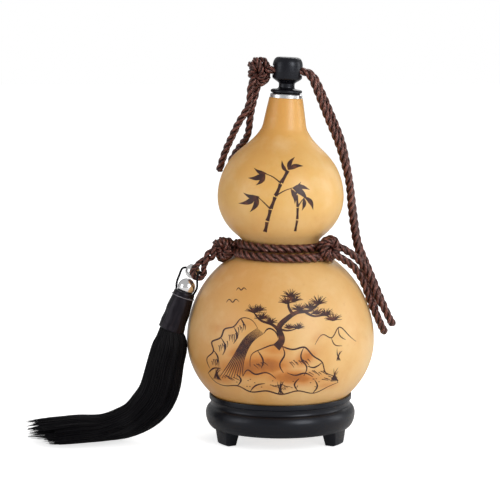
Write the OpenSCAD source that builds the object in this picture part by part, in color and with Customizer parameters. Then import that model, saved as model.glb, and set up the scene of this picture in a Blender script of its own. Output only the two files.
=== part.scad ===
// Gourd water bottle with a corded stopper and a silk tassel, on a turned wooden stand.
// Millimetres. The origin is on the table under the middle of the stand, +Z up, -Y to the front.

/* [Gourd] */
// Height of the gourd's underside above the table
gourd_lift = 12; // [11:0.5:16]
// Width of the lower bulb
lower_d = 105.2; // [100:0.2:107]
// Height of the lower bulb's widest level above its underside
belly_h = 45; // [43:0.5:47]
// Rise of the lower bulb's curve above its widest level
shoulder_h = 54.5; // [53:0.5:58]
// Height of the waist above the lower bulb's widest level
waist_rise = 52; // [50:0.5:54]
// Width of the waist
waist_d = 40.6; // [36:0.2:42]
// Width of the upper bulb
upper_d = 70.4; // [66:0.2:71]
// Height of the upper bulb's middle above the waist
crown_rise = 28.3; // [27.5:0.1:29.5]
// Depth of the upper bulb's curve below its middle
upper_sag = 29.5; // [29:0.5:32]
// Height of the mouth above the upper bulb's middle, along the neck
mouth_h = 55.3; // [52:0.1:60]
// Width of the neck at the mouth
mouth_d = 18.6; // [18:0.1:20]
// Lean of the neck to the right, in degrees
neck_lean = 3; // [0:0.5:5]
// Thickness of the dried gourd's wall
wall = 3.5; // [2.5:0.1:4.5]
// Thickness of the wax lining
lining = 0.6; // [0.4:0.1:1]

/* [Mouth and stopper] */
// Bore of the metal mouth ring
ring_bore_d = 11.2; // [10:0.1:12]
// Thickness of the mouth ring's sleeve
ring_wall = 1.2; // [0.8:0.1:1.4]
// Depth of the mouth ring's sleeve in the neck
ring_depth = 14; // [8:0.5:14]
// Height of the mouth ring's lip
lip_h = 2.2; // [1.5:0.1:3]
// Width of the mouth ring's lip
lip_d = 18; // [17:0.1:19]
// Length of the cork
cork_len = 15; // [10:0.5:20]
// Narrowing of the cork from its top to its foot
cork_taper = 1; // [0.4:0.1:2]
// Width of the knob's spigot in the cork
spigot_d = 5; // [3:0.5:6]
// Length of the knob's spigot
spigot_len = 10; // [6:0.5:12]
// Width of the knob's flange
flange_d = 17.6; // [16:0.1:19]
// Thickness of the knob's flange
flange_h = 2.3; // [1.5:0.1:3]
// Width of the knob's stem
stem_d = 8.8; // [7:0.1:10]
// Height of the knob's stem
stem_h = 3.5; // [2:0.1:6]
// Width of the knob's barrel
barrel_d = 16.7; // [16:0.1:18]
// Height of the knob's barrel, from its lower edge to its shoulder
barrel_h = 7; // [6.2:0.1:9]
// Height of the knob's rounded shoulder
shoulder_round = 4.8; // [3:0.1:6]

/* [Stand] */
// Height of the stand's feet
foot_h = 8.2; // [6:0.2:9]
// Width of a foot at its top
foot_w = 12.6; // [9:0.2:15]
// Height of the stand's ring
ring_h = 18.2; // [17:0.2:20]
// Width of the opening in the ring
ring_hole_d = 50; // [44:1:54]
// Thickness of the rim that the gourd sits in
rim_w = 1; // [0.6:0.1:2]
// Height of the rim
rim_h = 2.6; // [1.5:0.1:4]
// How far the ring's moulding stands out past the rim
bead_out = 2; // [1:0.1:4]

/* [Cords] */
// Thickness of the twisted cord
cord_d = 4.2; // [4:0.1:4.4]
// Turns of cord round the waist
waist_turns = 1.95; // [1.9:0.05:1.95]
// Rise of the cord in one turn round the waist
waist_pitch = 4.6; // [4.5:0.1:4.8]
// Thickness of the thin cord that carries the tassel
thread_d = 1.4; // [1:0.1:1.5]

/* [Tassel] */
// Width of the upper bead
upper_bead_d = 7.8; // [6:0.1:8]
// Width of the lower bead
lower_bead_d = 9; // [7:0.1:9.2]
// Lean of the tassel's head, in degrees
tassel_lean = 20; // [16:1:24]
// Length of the tassel's cap
cap_len = 22.5; // [18:0.5:26]
// Width of the cap's top
cap_top_d = 11.8; // [11.6:0.1:13]
// Width of the cap's mouth
cap_mouth_d = 14.6; // [14:0.1:16]
// Thickness of the cap
cap_wall = 1; // [0.6:0.1:1.4]

/* [Hidden] */
$fn = 96;

// Gaps between pieces
seat_gap = 0.35;
glue_gap = 0.05;
cork_gap = 0.08;
lift_gap = 0.1;
rope_gap = 0.35;
cut = 1;

// Levels and radii of the gourd
belly_z = gourd_lift + belly_h;
waist_z = belly_z + waist_rise;
crown_z = waist_z + crown_rise;
lower_r = lower_d / 2;
waist_r = waist_d / 2;
upper_r = upper_d / 2;
mouth_r = mouth_d / 2;
blend_h = 7;

// Colours
lacquer = [0.1, 0.1, 0.12];
gourd_gold = [0.88, 0.68, 0.4];
wax = [0.8, 0.7, 0.45];
steel = [0.85, 0.86, 0.88];
cork_brown = [0.7, 0.52, 0.34];
cord_brown = [0.26, 0.15, 0.13];
silk_black = [0.08, 0.07, 0.09];

// Radius of an upright oval with half axes r and h, at a height d from its middle
function oval_r(r, h, d) = r * sqrt(max(0, 1 - pow(d / h, 2)));

// Change of that radius for a small rise
function oval_slope(r, h, d) = -r * d / (h * h * sqrt(1 - pow(d / h, 2)));

// Smooth value from a to b over a length, with slopes ka and kb at its ends, at share t
function ease(a, ka, b, kb, length, t) =
    a * (2 * pow(t, 3) - 3 * pow(t, 2) + 1) + ka * length * (pow(t, 3) - 2 * pow(t, 2) + t)
    + b * (3 * pow(t, 2) - 2 * pow(t, 3)) + kb * length * (pow(t, 3) - pow(t, 2));

// Radius and slope where the waist's curve leaves the lower bulb and reaches the upper one
low_d = waist_rise - blend_h;
low_r = oval_r(lower_r, shoulder_h, low_d);
low_k = oval_slope(lower_r, shoulder_h, low_d);
high_d = blend_h - crown_rise;
high_r = oval_r(upper_r, upper_sag, high_d);
high_k = oval_slope(upper_r, upper_sag, high_d);

// Radius of the gourd's outside at a height, up to the upper bulb's middle
function gourd_r(z) =
    z < belly_z ? oval_r(lower_r, belly_h, belly_z - z)
    : z < waist_z - blend_h ? oval_r(lower_r, shoulder_h, z - belly_z)
    : z < waist_z ? ease(low_r, low_k, waist_r, 0, blend_h, (z - waist_z) / blend_h + 1)
    : z < waist_z + blend_h ? ease(waist_r, 0, high_r, high_k, blend_h, (z - waist_z) / blend_h)
    : oval_r(upper_r, upper_sag, z - crown_z);

// Heights at which the outline has its points, closer together where it turns more
low_turn = asin(low_d / shoulder_h);
high_turn = asin(high_d / upper_sag);
gourd_levels = concat(
    [for (a = [-90 : 7.5 : -1]) belly_z + belly_h * sin(a)],
    [for (i = [0 : 8]) belly_z + shoulder_h * sin(low_turn * i / 9)],
    [for (i = [0 : 11]) waist_z - blend_h + blend_h * i / 6],
    [for (i = [0 : 6]) crown_z + upper_sag * sin(high_turn * (1 - i / 6))]);
gourd_line = [for (z = gourd_levels) [gourd_r(z), z]];

// Outline of the neck above the upper bulb's middle, from just under the bulb's skin
neck_low = 28;
neck_sink = 0.15;
neck_mid = 41;
neck_mid_r = mouth_r + 2.6;
neck_low_r = sqrt(pow(upper_r - neck_sink, 2) - pow(neck_low, 2));
neck_low_k = -neck_low / neck_low_r;
neck_mid_k = -0.17;
mouth_k = -0.2;
neck_line = concat(
    [for (i = [0 : 7]) let (t = i / 8)
        [ease(neck_low_r, neck_low_k, neck_mid_r, neck_mid_k, neck_mid - neck_low, t),
         neck_low + (neck_mid - neck_low) * t]],
    [for (i = [0 : 4]) let (t = i / 4)
        [ease(neck_mid_r, neck_mid_k, mouth_r, mouth_k, mouth_h - neck_mid, t),
         neck_mid + (mouth_h - neck_mid) * t]]);

// Points of a rising outline moved inwards by a depth, square to the outline
function run_at(line, i) = line[min(i + 1, len(line) - 1)] - line[max(i - 1, 0)];
function inset_point(p, run, depth) = p - depth * [run[1], -run[0]] / norm(run);
function inset_line(line, depth) =
    [for (i = [0 : len(line) - 1]) inset_point(line[i], run_at(line, i), depth)];

// The body's outline, whose ends stay on the axis and upright
function body_line(depth) = concat(
    [[0, gourd_lift + depth]],
    [for (i = [1 : len(gourd_line) - 2])
        inset_point(gourd_line[i], run_at(gourd_line, i), depth)],
    [[upper_r - depth, crown_z]]);

// Moves what is drawn round Z onto the leaning neck
module on_neck() {
    translate([0, 0, crown_z])
        rotate([0, neck_lean, 0])
            children();
}

// The gourd's solid form, taken in by a depth all round
module gourd_form(depth) {
    line = body_line(depth);
    rotate_extrude() polygon(concat(line, [[0, crown_z]]));
    intersection() {
        translate([0, 0, crown_z]) sphere(upper_r - depth);
        translate([-upper_r, -upper_r, crown_z]) cube(2 * upper_r);
    }
    on_neck() neck_form(inset_line(neck_line, depth));
}

module neck_form(line) {
    foot = line[0][1];
    top = line[len(line) - 1][1];
    rotate_extrude() polygon(concat([[0, foot]], line, [[0, top]]));
}

// Radii of the mouth ring, and levels along the neck
ring_bore_r = ring_bore_d / 2;
sleeve_r = ring_bore_r + ring_wall;
lip_top = mouth_h + lip_h;
sleeve_foot = mouth_h - ring_depth;
flange_foot = lip_top + lift_gap;
stem_foot = flange_foot + flange_h;
cone_foot = stem_foot + stem_h;
cone_h = 2.5;
barrel_foot = cone_foot + cone_h;
barrel_top = barrel_foot + barrel_h;
knob_top = barrel_top + shoulder_round;
slot_level = barrel_foot + 0.63 * barrel_h;

module gourd_shell() {
    color(gourd_gold) difference() {
        gourd_form(0);
        gourd_form(wall);
        on_neck() translate([0, 0, sleeve_foot - glue_gap])
            cylinder(r = sleeve_r + glue_gap, h = ring_depth + cut);
    }
}

module wax_lining() {
    outside = wall + glue_gap;
    color(wax) difference() {
        gourd_form(outside);
        gourd_form(outside + lining);
        on_neck() translate([0, 0, sleeve_foot - 2 * glue_gap])
            cylinder(r = upper_r, h = mouth_h);
    }
}

module mouth_ferrule() {
    edge = 0.5;
    lip_r = lip_d / 2;
    color(steel) on_neck() rotate_extrude() polygon([
        [ring_bore_r, sleeve_foot], [sleeve_r, sleeve_foot], [sleeve_r, mouth_h],
        [lip_r, mouth_h], [lip_r, lip_top - edge], [lip_r - edge, lip_top],
        [ring_bore_r, lip_top]]);
}

module cork_plug() {
    top_r = ring_bore_r - cork_gap;
    spigot_r = spigot_d / 2;
    hole_foot = flange_foot - spigot_len - glue_gap;
    color(cork_brown) on_neck() rotate_extrude() polygon([
        [0, flange_foot - cork_len], [top_r - cork_taper / 2, flange_foot - cork_len],
        [top_r, flange_foot], [spigot_r + glue_gap, flange_foot],
        [spigot_r + glue_gap, hole_foot], [0, hole_foot]]);
}

// Half outline of the knob, from its spigot up to its rounded top
module knob_outline() {
    spigot_r = spigot_d / 2;
    flange_r = flange_d / 2;
    stem_r = stem_d / 2;
    barrel_r = barrel_d / 2;
    top_r = 0.65 * barrel_r;
    fillet = 1;
    edge = 0.6;
    polygon(concat(
        [[0, flange_foot - spigot_len], [spigot_r, flange_foot - spigot_len],
         [spigot_r, flange_foot], [flange_r - 2 * edge, flange_foot],
         [flange_r, flange_foot + 1.5 * edge], [flange_r, stem_foot - edge],
         [flange_r - edge, stem_foot], [stem_r + fillet, stem_foot],
         [stem_r, stem_foot + fillet], [stem_r, cone_foot],
         [barrel_r - edge, barrel_foot - edge / 2], [barrel_r - edge / 4, barrel_foot + edge / 2]],
        [for (i = [0 : 8]) let (a = i * 90 / 8)
            [top_r + (barrel_r - top_r) * cos(a), barrel_top + shoulder_round * sin(a)]],
        [[0, knob_top]]));
}

// Slot through the knob for two cords side by side
slot_gap = 0.3;
slot_high = cord_d + 2 * slot_gap;
slot_wide = 2 * cord_d + 1.1;
module knob_slot() {
    side = (slot_wide - slot_high) / 2;
    translate([0, 0, slot_level]) rotate([0, 90, 0]) {
        cube([slot_high, 2 * side, barrel_d + 2 * cut], center = true);
        for (s = [-1, 1]) translate([0, s * side, 0])
            cylinder(d = slot_high, h = barrel_d + 2 * cut, center = true);
    }
}

module stopper_knob() {
    color(lacquer) on_neck() difference() {
        rotate_extrude() knob_outline();
        knob_slot();
    }
}

// Levels and radii of the stand
ring_foot = foot_h;
ring_top = ring_foot + ring_h;
seat_foot = belly_z - oval_r(belly_h + seat_gap, lower_r + seat_gap, ring_hole_d / 2);
function seat_r(z) = oval_r(lower_r + seat_gap, belly_h + seat_gap, belly_z - z);
rim_r = seat_r(ring_top) + rim_w;
bead_r = rim_r + bead_out;
hollow_deep = 0.9;
hollow_high = 2.6;
bead_mid = ring_top - 0.59 * ring_h;
bead_wide = 5;
bead_high = 5.2;
apron_drop = bead_mid - ring_foot;
apron_in = 4.1;
rim_edge = 0.4;

module stand_ring() {
    seat = [for (i = [0 : 8]) let (z = seat_foot + (ring_top - seat_foot) * i / 8)
        [seat_r(z), z]];
    rim = [[rim_r - rim_edge, ring_top], [rim_r, ring_top - rim_edge],
           [rim_r, ring_top - rim_h]];
    hollow = [for (a = [15 : 25 : 90])
        [rim_r - hollow_deep * sin(a), ring_top - rim_h - hollow_high * (1 - cos(a))]];
    bead = [for (a = [62 : -14 : -64]) let (high = a > 0 ? bead_high : 1.12 * apron_drop)
        [bead_r - bead_wide * (1 - cos(a)), bead_mid + high * sin(a)]];
    apron = [[bead_r - apron_in, ring_foot], [ring_hole_d / 2, ring_foot]];
    color(lacquer) difference() {
        rotate_extrude() polygon(concat(seat, rim, hollow, bead, apron));
        for (turn = foot_turns) rotate([0, 0, turn]) translate([0, -foot_mid, ring_foot - cut])
            cylinder(r = peg_r + glue_gap, h = peg_h + glue_gap + cut);
    }
}

// Three feet, pegged into the ring, turned from the front about Z
foot_turns = [-60, 60, 180];
foot_out = bead_r - 3.2;
foot_deep = 8.5;
foot_in = foot_out - foot_deep;
foot_round = [1.8, 1];
foot_lean = 0.7;
foot_mid = (foot_out + foot_in) / 2;
peg_r = 2.2;
peg_h = 4;

module stand_foot(turn) {
    taper = 1.4;
    color(lacquer) rotate([0, 0, turn]) {
        intersection() {
            rotate_extrude() polygon([
                [foot_in + 2 * foot_lean, 0], [foot_out - foot_round[0], 0],
                [foot_out - foot_lean, foot_round[1]], [foot_out, foot_h],
                [foot_in, foot_h]]);
            rotate([90, 0, 0]) linear_extrude(foot_out + cut) polygon([
                [-foot_w / 2, foot_h], [-foot_w / 2 + taper, 0],
                [foot_w / 2 - taper, 0], [foot_w / 2, foot_h]]);
        }
        translate([0, -foot_mid, foot_h - cut]) cylinder(r = peg_r, h = peg_h + cut);
    }
}

module stand_foot_left() { stand_foot(foot_turns[0]); }
module stand_foot_right() { stand_foot(foot_turns[1]); }
module stand_foot_back() { stand_foot(foot_turns[2]); }

// Directions along a route, and a frame carried along it without twisting
function unit(v) = v / norm(v);
function route_way(p, i) =
    let (n = len(p) - 1)
    i == 0 ? unit(p[1] - p[0])
    : i == n ? unit(p[n] - p[n - 1])
    : unit(unit(p[i + 1] - p[i]) + unit(p[i] - p[i - 1]));
function square_to(v, way) = unit(v - (v * way) * way);
function any_side(way) = abs(way[2]) < 0.9 ? [0, 0, 1] : [1, 0, 0];
function carry_sides(ways, i, sides) =
    i == len(ways) ? sides
    : carry_sides(ways, i + 1, concat(sides, [square_to(sides[i - 1], ways[i])]));

// A round tube of straight runs between rings at the route's points, closed at both ends
module tube(p, d, count) {
    n = len(p);
    ways = [for (i = [0 : n - 1]) route_way(p, i)];
    sides = carry_sides(ways, 1, [square_to(any_side(ways[0]), ways[0])]);
    rings = [for (i = [0 : n - 1]) for (k = [0 : count - 1])
        let (a = 360 * k / count, up = cross(ways[i], sides[i]))
        p[i] + d / 2 * (cos(a) * sides[i] + sin(a) * up)];
    skin = [for (i = [0 : n - 2]) for (k = [0 : count - 1])
        let (a = i * count + k, b = i * count + (k + 1) % count)
        each [[a, a + count, b], [b, a + count, b + count]]];
    caps = [[for (k = [0 : count - 1]) k],
            [for (k = [count - 1 : -1 : 0]) (n - 1) * count + k]];
    polyhedron(rings, concat(skin, caps));
}

cord_sides = 8;

// The winding lies against the waist, a gap off the gourd
rope_off = cord_d / 2 + rope_gap;
function rope_r(z) = max([for (s = [-0.96 : 0.12 : 0.97])
    gourd_r(z + rope_off * s) + rope_off * sqrt(1 - s * s)]);
rope_start = waist_z + 2.8;
rope_turn = 195;
rings_a_turn = 24;
rope_steps = round(waist_turns * rings_a_turn);
rope_coil = [for (i = [0 : rope_steps])
    let (z = rope_start - waist_pitch * i / rings_a_turn, a = rope_turn + 360 * i / rings_a_turn)
    [rope_r(z) * cos(a), rope_r(z) * sin(a), z]];
rope_line = concat(
    [rope_coil[0] - cord_d * unit(rope_coil[1] - rope_coil[0])],
    rope_coil,
    [rope_coil[rope_steps] + cord_d * unit(rope_coil[rope_steps] - rope_coil[rope_steps - 1])]);
rope_self_gap = min([for (i = [0 : rope_steps - 8]) for (j = [i + 8 : rope_steps])
    norm(rope_coil[i] - rope_coil[j])]) - cord_d;
echo(least_gap_of_the_waist_winding = rope_self_gap);

module waist_rope() {
    color(cord_brown) tube(rope_line, cord_d, 6);
}

// Middle of the knob's slot, and the places beside the gourd that the cords follow
slot_at = [slot_level * sin(neck_lean), 0, crown_z + slot_level * cos(neck_lean)];
knob_side = slot_at + [barrel_d / 2, 0, 0];
belly_side = [lower_r, 0, belly_z];
crown_side = [upper_r, 0, crown_z];
crown_back = [-upper_r, 0, crown_z];

// A point at a share of the way from a to b, and from there x, y and z cord thicknesses on
function between(a, b, q) = a + q[0] * (b - a) + cord_d * [q[1], q[2], q[3]];
function route(a, b, list) = [for (q = list) between(a, b, q)];

// An overhand knot drawn up tight, facing the front, whose cord is squeezed
knot_d = 0.86 * cord_d;
function knot_line(middle, high) = [for (i = [1 : 46]) let (a = 360 * i / 47)
    middle + knot_d * [(1.18 + 0.56 * cos(3 * a)) * cos(2 * a), 0.6 * sin(3 * a),
                       high * (1.18 + 0.56 * cos(3 * a)) * sin(2 * a)]];

// A knot's middle at a turn about Z, up from the waist, and out from the gourd at its lower
// lobes or from the winding, whichever is further
knot_drop = 1.5 * knot_d;
function knot_at(turn, up, off_gourd, off_winding) =
    let (z = waist_z + up * cord_d,
         r = max(gourd_r(z - knot_drop) + off_gourd * cord_d, rope_r(z) + off_winding * cord_d))
    [r * cos(turn), r * sin(turn), z];
left_knot_at = knot_at(191.5, 0, 1.27, 2.2);
right_knot_at = knot_at(-32.2, 0.31, 1.66, 2.05);
knob_knot_at = slot_at - [barrel_d / 2, 0, 0] - cord_d * [1.77, 0, 0.12];

module waist_knot_left() { color(cord_brown) tube(knot_line(left_knot_at, 1), knot_d, 6); }
module waist_knot_right() { color(cord_brown) tube(knot_line(right_knot_at, 1), knot_d, 6); }
module knob_knot() { color(cord_brown) tube(knot_line(knob_knot_at, 1.3), knot_d, 6); }

// Strap, from the right knot down to its bend and up to the knob
strap_inner = concat(
    route(right_knot_at, belly_side, [
        [0, 1.25, 0.32, -1.14], [0.1, 2.17, 0.75, -0.95], [0.3, 2.14, 0.5, 0.16],
        [0.6, 1.17, -0.45, 2.19]]),
    route(belly_side, crown_side, [
        [0, -0.5, -2.02, 5.12], [0, 0.45, -2.02, 2.98], [0, 0.93, -1.55, 1.9],
        [0, 1.29, -0.6, 1.19], [0, 1.29, 0.6, 1.19], [0, 0.93, 1.55, 1.9],
        [0, 0.45, 2.02, 2.98], [0.27, 0.98, 1.79, -0.04], [0.37, 0.79, 1.55, 0.07],
        [0.5, 0.62, 1.31, 0.08], [0.65, 0.41, 1.19, 0.07], [0.8, 0.55, 0.95, -0.06],
        [0.93, 0.73, 0.71, 0.08]]),
    route(crown_side, knob_side, [
        [0.08, 1.23, 0.48, 0.02], [0.25, 1.57, 0.24, -0.08], [0.41, 1.62, 0.12, -0.02],
        [0.57, 1.43, -0.12, -0.08], [0.7, 1.2, -0.36, 0.01], [0.82, 1.07, -0.52, 0.03],
        [0.89, 0.96, -0.57, 0.08]]));
strap_outer = concat(
    route(right_knot_at, belly_side, [
        [0, 1.37, 0.32, 0.12], [0.1, 2.53, 0.64, 0.24], [0.3, 2.86, 0.5, 1.12],
        [0.6, 1.88, -0.45, 3.26]]),
    route(belly_side, crown_side, [
        [0, 0.33, -2.02, 5.95], [0, 1.52, -2.02, 3.93], [0, 2, -1.55, 2.86],
        [0, 2.36, -0.6, 2.26], [0, 2.36, 0.6, 2.26], [0, 2, 1.55, 2.86],
        [0, 1.52, 2.02, 3.93], [0.29, 2.01, 2.14, 0.05], [0.4, 1.63, 2.38, -0.03],
        [0.52, 1.18, 2.5, -0.06], [0.66, 0.69, 2.26, 0], [0.8, 0.79, 2.14, -0.06],
        [0.93, 0.97, 1.9, 0.08]]),
    route(crown_side, knob_side, [
        [0.08, 1.35, 1.67, 0.02], [0.25, 1.81, 1.43, -0.08], [0.41, 2.1, 1.19, -0.02],
        [0.57, 2.03, 0.83, -0.08], [0.7, 1.79, 0.71, 0.01], [0.83, 1.58, 0.6, -0.02],
        [0.9, 1.37, 0.57, 0.05]]));
module strap_cord_inner() { color(cord_brown) tube(strap_inner, cord_d, cord_sides); }
module strap_cord_outer() { color(cord_brown) tube(strap_outer, cord_d, cord_sides); }

// The same cords where they pass through the knob, from its left side to the strap's top
knob_left = slot_at - [barrel_d / 2, 0, 0];
knob_front = concat(
    [knob_left + cord_d * [-0.08, -0.57, 0.12], slot_at + cord_d * [0, -0.57, 0]],
    [for (v = [[0.11, -0.12], [0.75, -0.45], [1.23, -1.02], [1.53, -1.68]])
        knob_side + cord_d * [v[0], -0.57, v[1]]]);
knob_back = concat(
    [knob_left + cord_d * [-0.08, 0.57, 0.12], slot_at + cord_d * [0, 0.57, 0]],
    [for (v = [[0.11, -0.12], [0.9, -0.36], [1.49, -0.88], [1.89, -1.54]])
        knob_side + cord_d * [v[0], 0.57, v[1]]]);
module knob_cord_front() { color(cord_brown) tube(knob_front, cord_d, cord_sides); }
module knob_cord_back() { color(cord_brown) tube(knob_back, cord_d, cord_sides); }

// Cut tails below the knob's knot
tail_front = route(knob_knot_at, crown_back, [
    [0.11, -0.44, -0.24, -0.08], [0.25, 0.09, 0, -0.02], [0.39, -0.33, 0.36, 0.04],
    [0.52, -0.69, 0.95, 0.06], [0.65, -0.92, 1.55, 0.07], [0.81, -0.88, 2.14, -0.01]]);
tail_back = route(knob_knot_at, crown_back, [
    [0.14, 0.91, 0.83, 0.06], [0.26, 0.74, 0.83, 0.03], [0.39, 0.98, 1.07, 0.04],
    [0.52, 1.34, 2.14, 0.06], [0.64, 0.69, 3.81, 0.03], [0.75, 0.22, 4.52, -0.05]]);
module cord_tail_front() { color(cord_brown) tube(tail_front, cord_d, cord_sides); }
module cord_tail_back() { color(cord_brown) tube(tail_back, cord_d, cord_sides); }

// The hanger runs down from the left knot, turns round the thin cord and runs back
hang_at = [-lower_r + 1.62 * cord_d, left_knot_at[1] - 0.36 * cord_d, waist_z - 3.1 * cord_d];
hang_angle = 52;
hang_bend = 0.81 * cord_d;
hang_down = [-cos(hang_angle), 0, -sin(hang_angle)];
hang_side = [-sin(hang_angle), 0, cos(hang_angle)];
hang_left = [for (v = [[-1.6, -0.13, 0.36], [-2.31, -0.25, -0.48]]) left_knot_at + cord_d * v];
hang_right = [for (v = [[-1.6, -0.36, -2.02], [-0.64, -0.25, -0.83]]) left_knot_at + cord_d * v];
hanger_line = concat(
    hang_left,
    [for (a = [0 : 30 : 180]) hang_at + hang_bend * (cos(a) * hang_side + sin(a) * hang_down)],
    hang_right);
module tassel_hanger() { color(cord_brown) tube(hanger_line, cord_d, cord_sides); }

// The tassel's head hangs along its own axis from the lower bead's middle
bead_at = hang_at - lower_bead_d * [0.744, 0, 0.933];
module on_tassel() {
    translate(bead_at) rotate([0, tassel_lean, 0]) children();
}

// The hanging point, seen from the lower bead along the tassel's own axes
hang_run = hang_at - bead_at;
hole_side = hang_run[0] * cos(tassel_lean) - hang_run[2] * sin(tassel_lean);
hole_up = hang_run[0] * sin(tassel_lean) + hang_run[2] * cos(tassel_lean);

// The upper bead sits behind the hanger, and the thin cord runs through it from side to side
upper_bead_at = upper_bead_d * [0.05, 0.85, 1.1];
bore_gap = 0.1;
cap_top = -lower_bead_d / 3;
module upper_bead() {
    color(steel) on_tassel() translate(upper_bead_at) difference() {
        sphere(d = upper_bead_d);
        rotate([0, 90, 0]) cylinder(r = thread_d / 2 + bore_gap, h = 2 * upper_bead_d, center = true);
    }
}

module lower_bead() {
    color(steel) on_tassel() sphere(d = lower_bead_d);
}

// Thin cord: up the left of the lower bead, through the upper bead and the hanger, down the right
loop_foot = cap_top + thread_d / 5;
loop_near = 0.71 * upper_bead_d;
loop_line = concat(
    [[-0.56 * lower_bead_d, 0, loop_foot]],
    [for (v = [[-0.76, 0.1, 0.06], [-0.76, 0.49, 0.64]]) upper_bead_d * v],
    [upper_bead_at - [loop_near, 0, 0], upper_bead_at + [loop_near, 0, 0],
     upper_bead_at + upper_bead_d * [0.67, -0.28, 0.1]],
    [for (v = [[0.2, 1.2], [0, 0], [0, -1.2]])
        [hole_side + v[0] * thread_d, v[1] * thread_d, hole_up]],
    [for (v = [[0.4, -0.4, 0.93], [0.47, -0.43, 0.67], [0.62, -0.24, 0.17]]) lower_bead_d * v],
    [[0.56 * lower_bead_d, 0, loop_foot]]);
module tassel_loop() { color(silk_black) on_tassel() tube(loop_line, thread_d, 8); }

// Levels and widths of the cap
cap_foot = cap_top - cap_len;
cap_bell = 0.36 * cap_len;
cap_flare = 0.5;
cap_floor = cap_top - 0.15 * cap_len;
trim_top = cap_top - 0.1 * cap_len;
trim_h = 0.8;
trim_out = 0.45;
trim_r = cap_top_d / 2 + 0.1;
dish_gap = 0.3;

module tassel_cap() {
    top_r = cap_top_d / 2;
    mouth = cap_mouth_d / 2;
    bell_r = mouth - cap_flare;
    color(silk_black) on_tassel() difference() {
        rotate_extrude() polygon([
            [0, cap_top], [top_r, cap_top], [trim_r, trim_top], [trim_r, trim_top - trim_h],
            [bell_r, cap_foot + cap_bell], [mouth, cap_foot], [mouth - cap_wall, cap_foot],
            [bell_r - cap_wall, cap_foot + cap_bell], [trim_r - cap_wall, cap_floor],
            [0, cap_floor]]);
        sphere(r = lower_bead_d / 2 + dish_gap);
    }
}

module cap_trim() {
    color(steel) on_tassel() translate([0, 0, trim_top - trim_h]) difference() {
        cylinder(r = trim_r + trim_out, h = trim_h);
        translate([0, 0, -cut]) cylinder(r = trim_r, h = trim_h + 2 * cut);
    }
}

// The skirt's head inside the cap: level, radius beyond the head's
head_r = trim_r - cap_wall - 0.3;
skirt_head = [[cap_floor - 0.2, 0], [cap_foot + 0.4 * cap_len, 0.5], [cap_foot, 1]];
function on_head(level) =
    [bead_at[0] + level * sin(tassel_lean), bead_at[2] + level * cos(tassel_lean)];

// The skirt below the cap, its height in shares of the cap foot's, the rest in cap widths:
// how far left of the lower bead, height, half width, half thickness, how far back
skirt_fall = [
    [0.68, 0.896, 0.51, 0.51, 0], [0.82, 0.739, 0.62, 0.59, 0], [0.99, 0.566, 0.68, 0.62, 0],
    [1.23, 0.416, 0.72, 0.62, 0], [1.58, 0.299, 0.75, 0.58, 0], [2.02, 0.204, 0.79, 0.51, 0.07],
    [2.57, 0.138, 0.86, 0.41, 0.14], [3.25, 0.094, 0.96, 0.33, 0.21],
    [4.08, 0.075, 1.06, 0.29, 0.27], [4.9, 0.066, 1.16, 0.25, 0.34],
    [5.72, 0.053, 1.23, 0.21, 0.41], [6.3, 0.038, 1.1, 0.14, 0.41]];
fall_top = on_head(cap_foot)[1];

// Sections: middle [x, z], half width across Y, half thickness, and middle in Y
skirt_sections = concat(
    [for (h = skirt_head) [on_head(h[0]), head_r + h[1], head_r + h[1], bead_at[1]]],
    [for (f = skirt_fall)
        [[bead_at[0] - f[0] * cap_mouth_d, f[1] * fall_top], f[2] * cap_mouth_d,
         f[3] * cap_mouth_d, bead_at[1] + f[4] * cap_mouth_d]]);
skirt_sides = 20;
flutes = 5;

module tassel_skirt() {
    s = skirt_sections;
    n = len(s);
    middles = [for (q = s) [q[0][0], q[3], q[0][1]]];
    points = [for (i = [0 : n - 1]) for (k = [0 : skirt_sides - 1])
        let (a = 360 * k / skirt_sides, way = route_way(middles, i),
             over = square_to([0, 1, 0], way), up = cross(way, over),
             fold = i < 3 ? 1 : 1 + 0.05 * cos(flutes * a))
        middles[i] + fold * (s[i][1] * cos(a) * over + s[i][2] * sin(a) * up)];
    skin = [for (i = [0 : n - 2]) for (k = [0 : skirt_sides - 1])
        let (a = i * skirt_sides + k, b = i * skirt_sides + (k + 1) % skirt_sides)
        each [[a, a + skirt_sides, b], [b, a + skirt_sides, b + skirt_sides]]];
    caps = [[for (k = [0 : skirt_sides - 1]) k],
            [for (k = [skirt_sides - 1 : -1 : 0]) (n - 1) * skirt_sides + k]];
    color(silk_black) polyhedron(points, concat(skin, caps));
}

stand_ring();
stand_foot_left();
stand_foot_right();
stand_foot_back();
gourd_shell();
wax_lining();
mouth_ferrule();
cork_plug();
stopper_knob();
waist_rope();
waist_knot_left();
waist_knot_right();
tassel_hanger();
strap_cord_inner();
strap_cord_outer();
knob_knot();
knob_cord_front();
knob_cord_back();
cord_tail_front();
cord_tail_back();
upper_bead();
lower_bead();
tassel_loop();
tassel_cap();
cap_trim();
tassel_skirt();
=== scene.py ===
import math
import random

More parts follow.
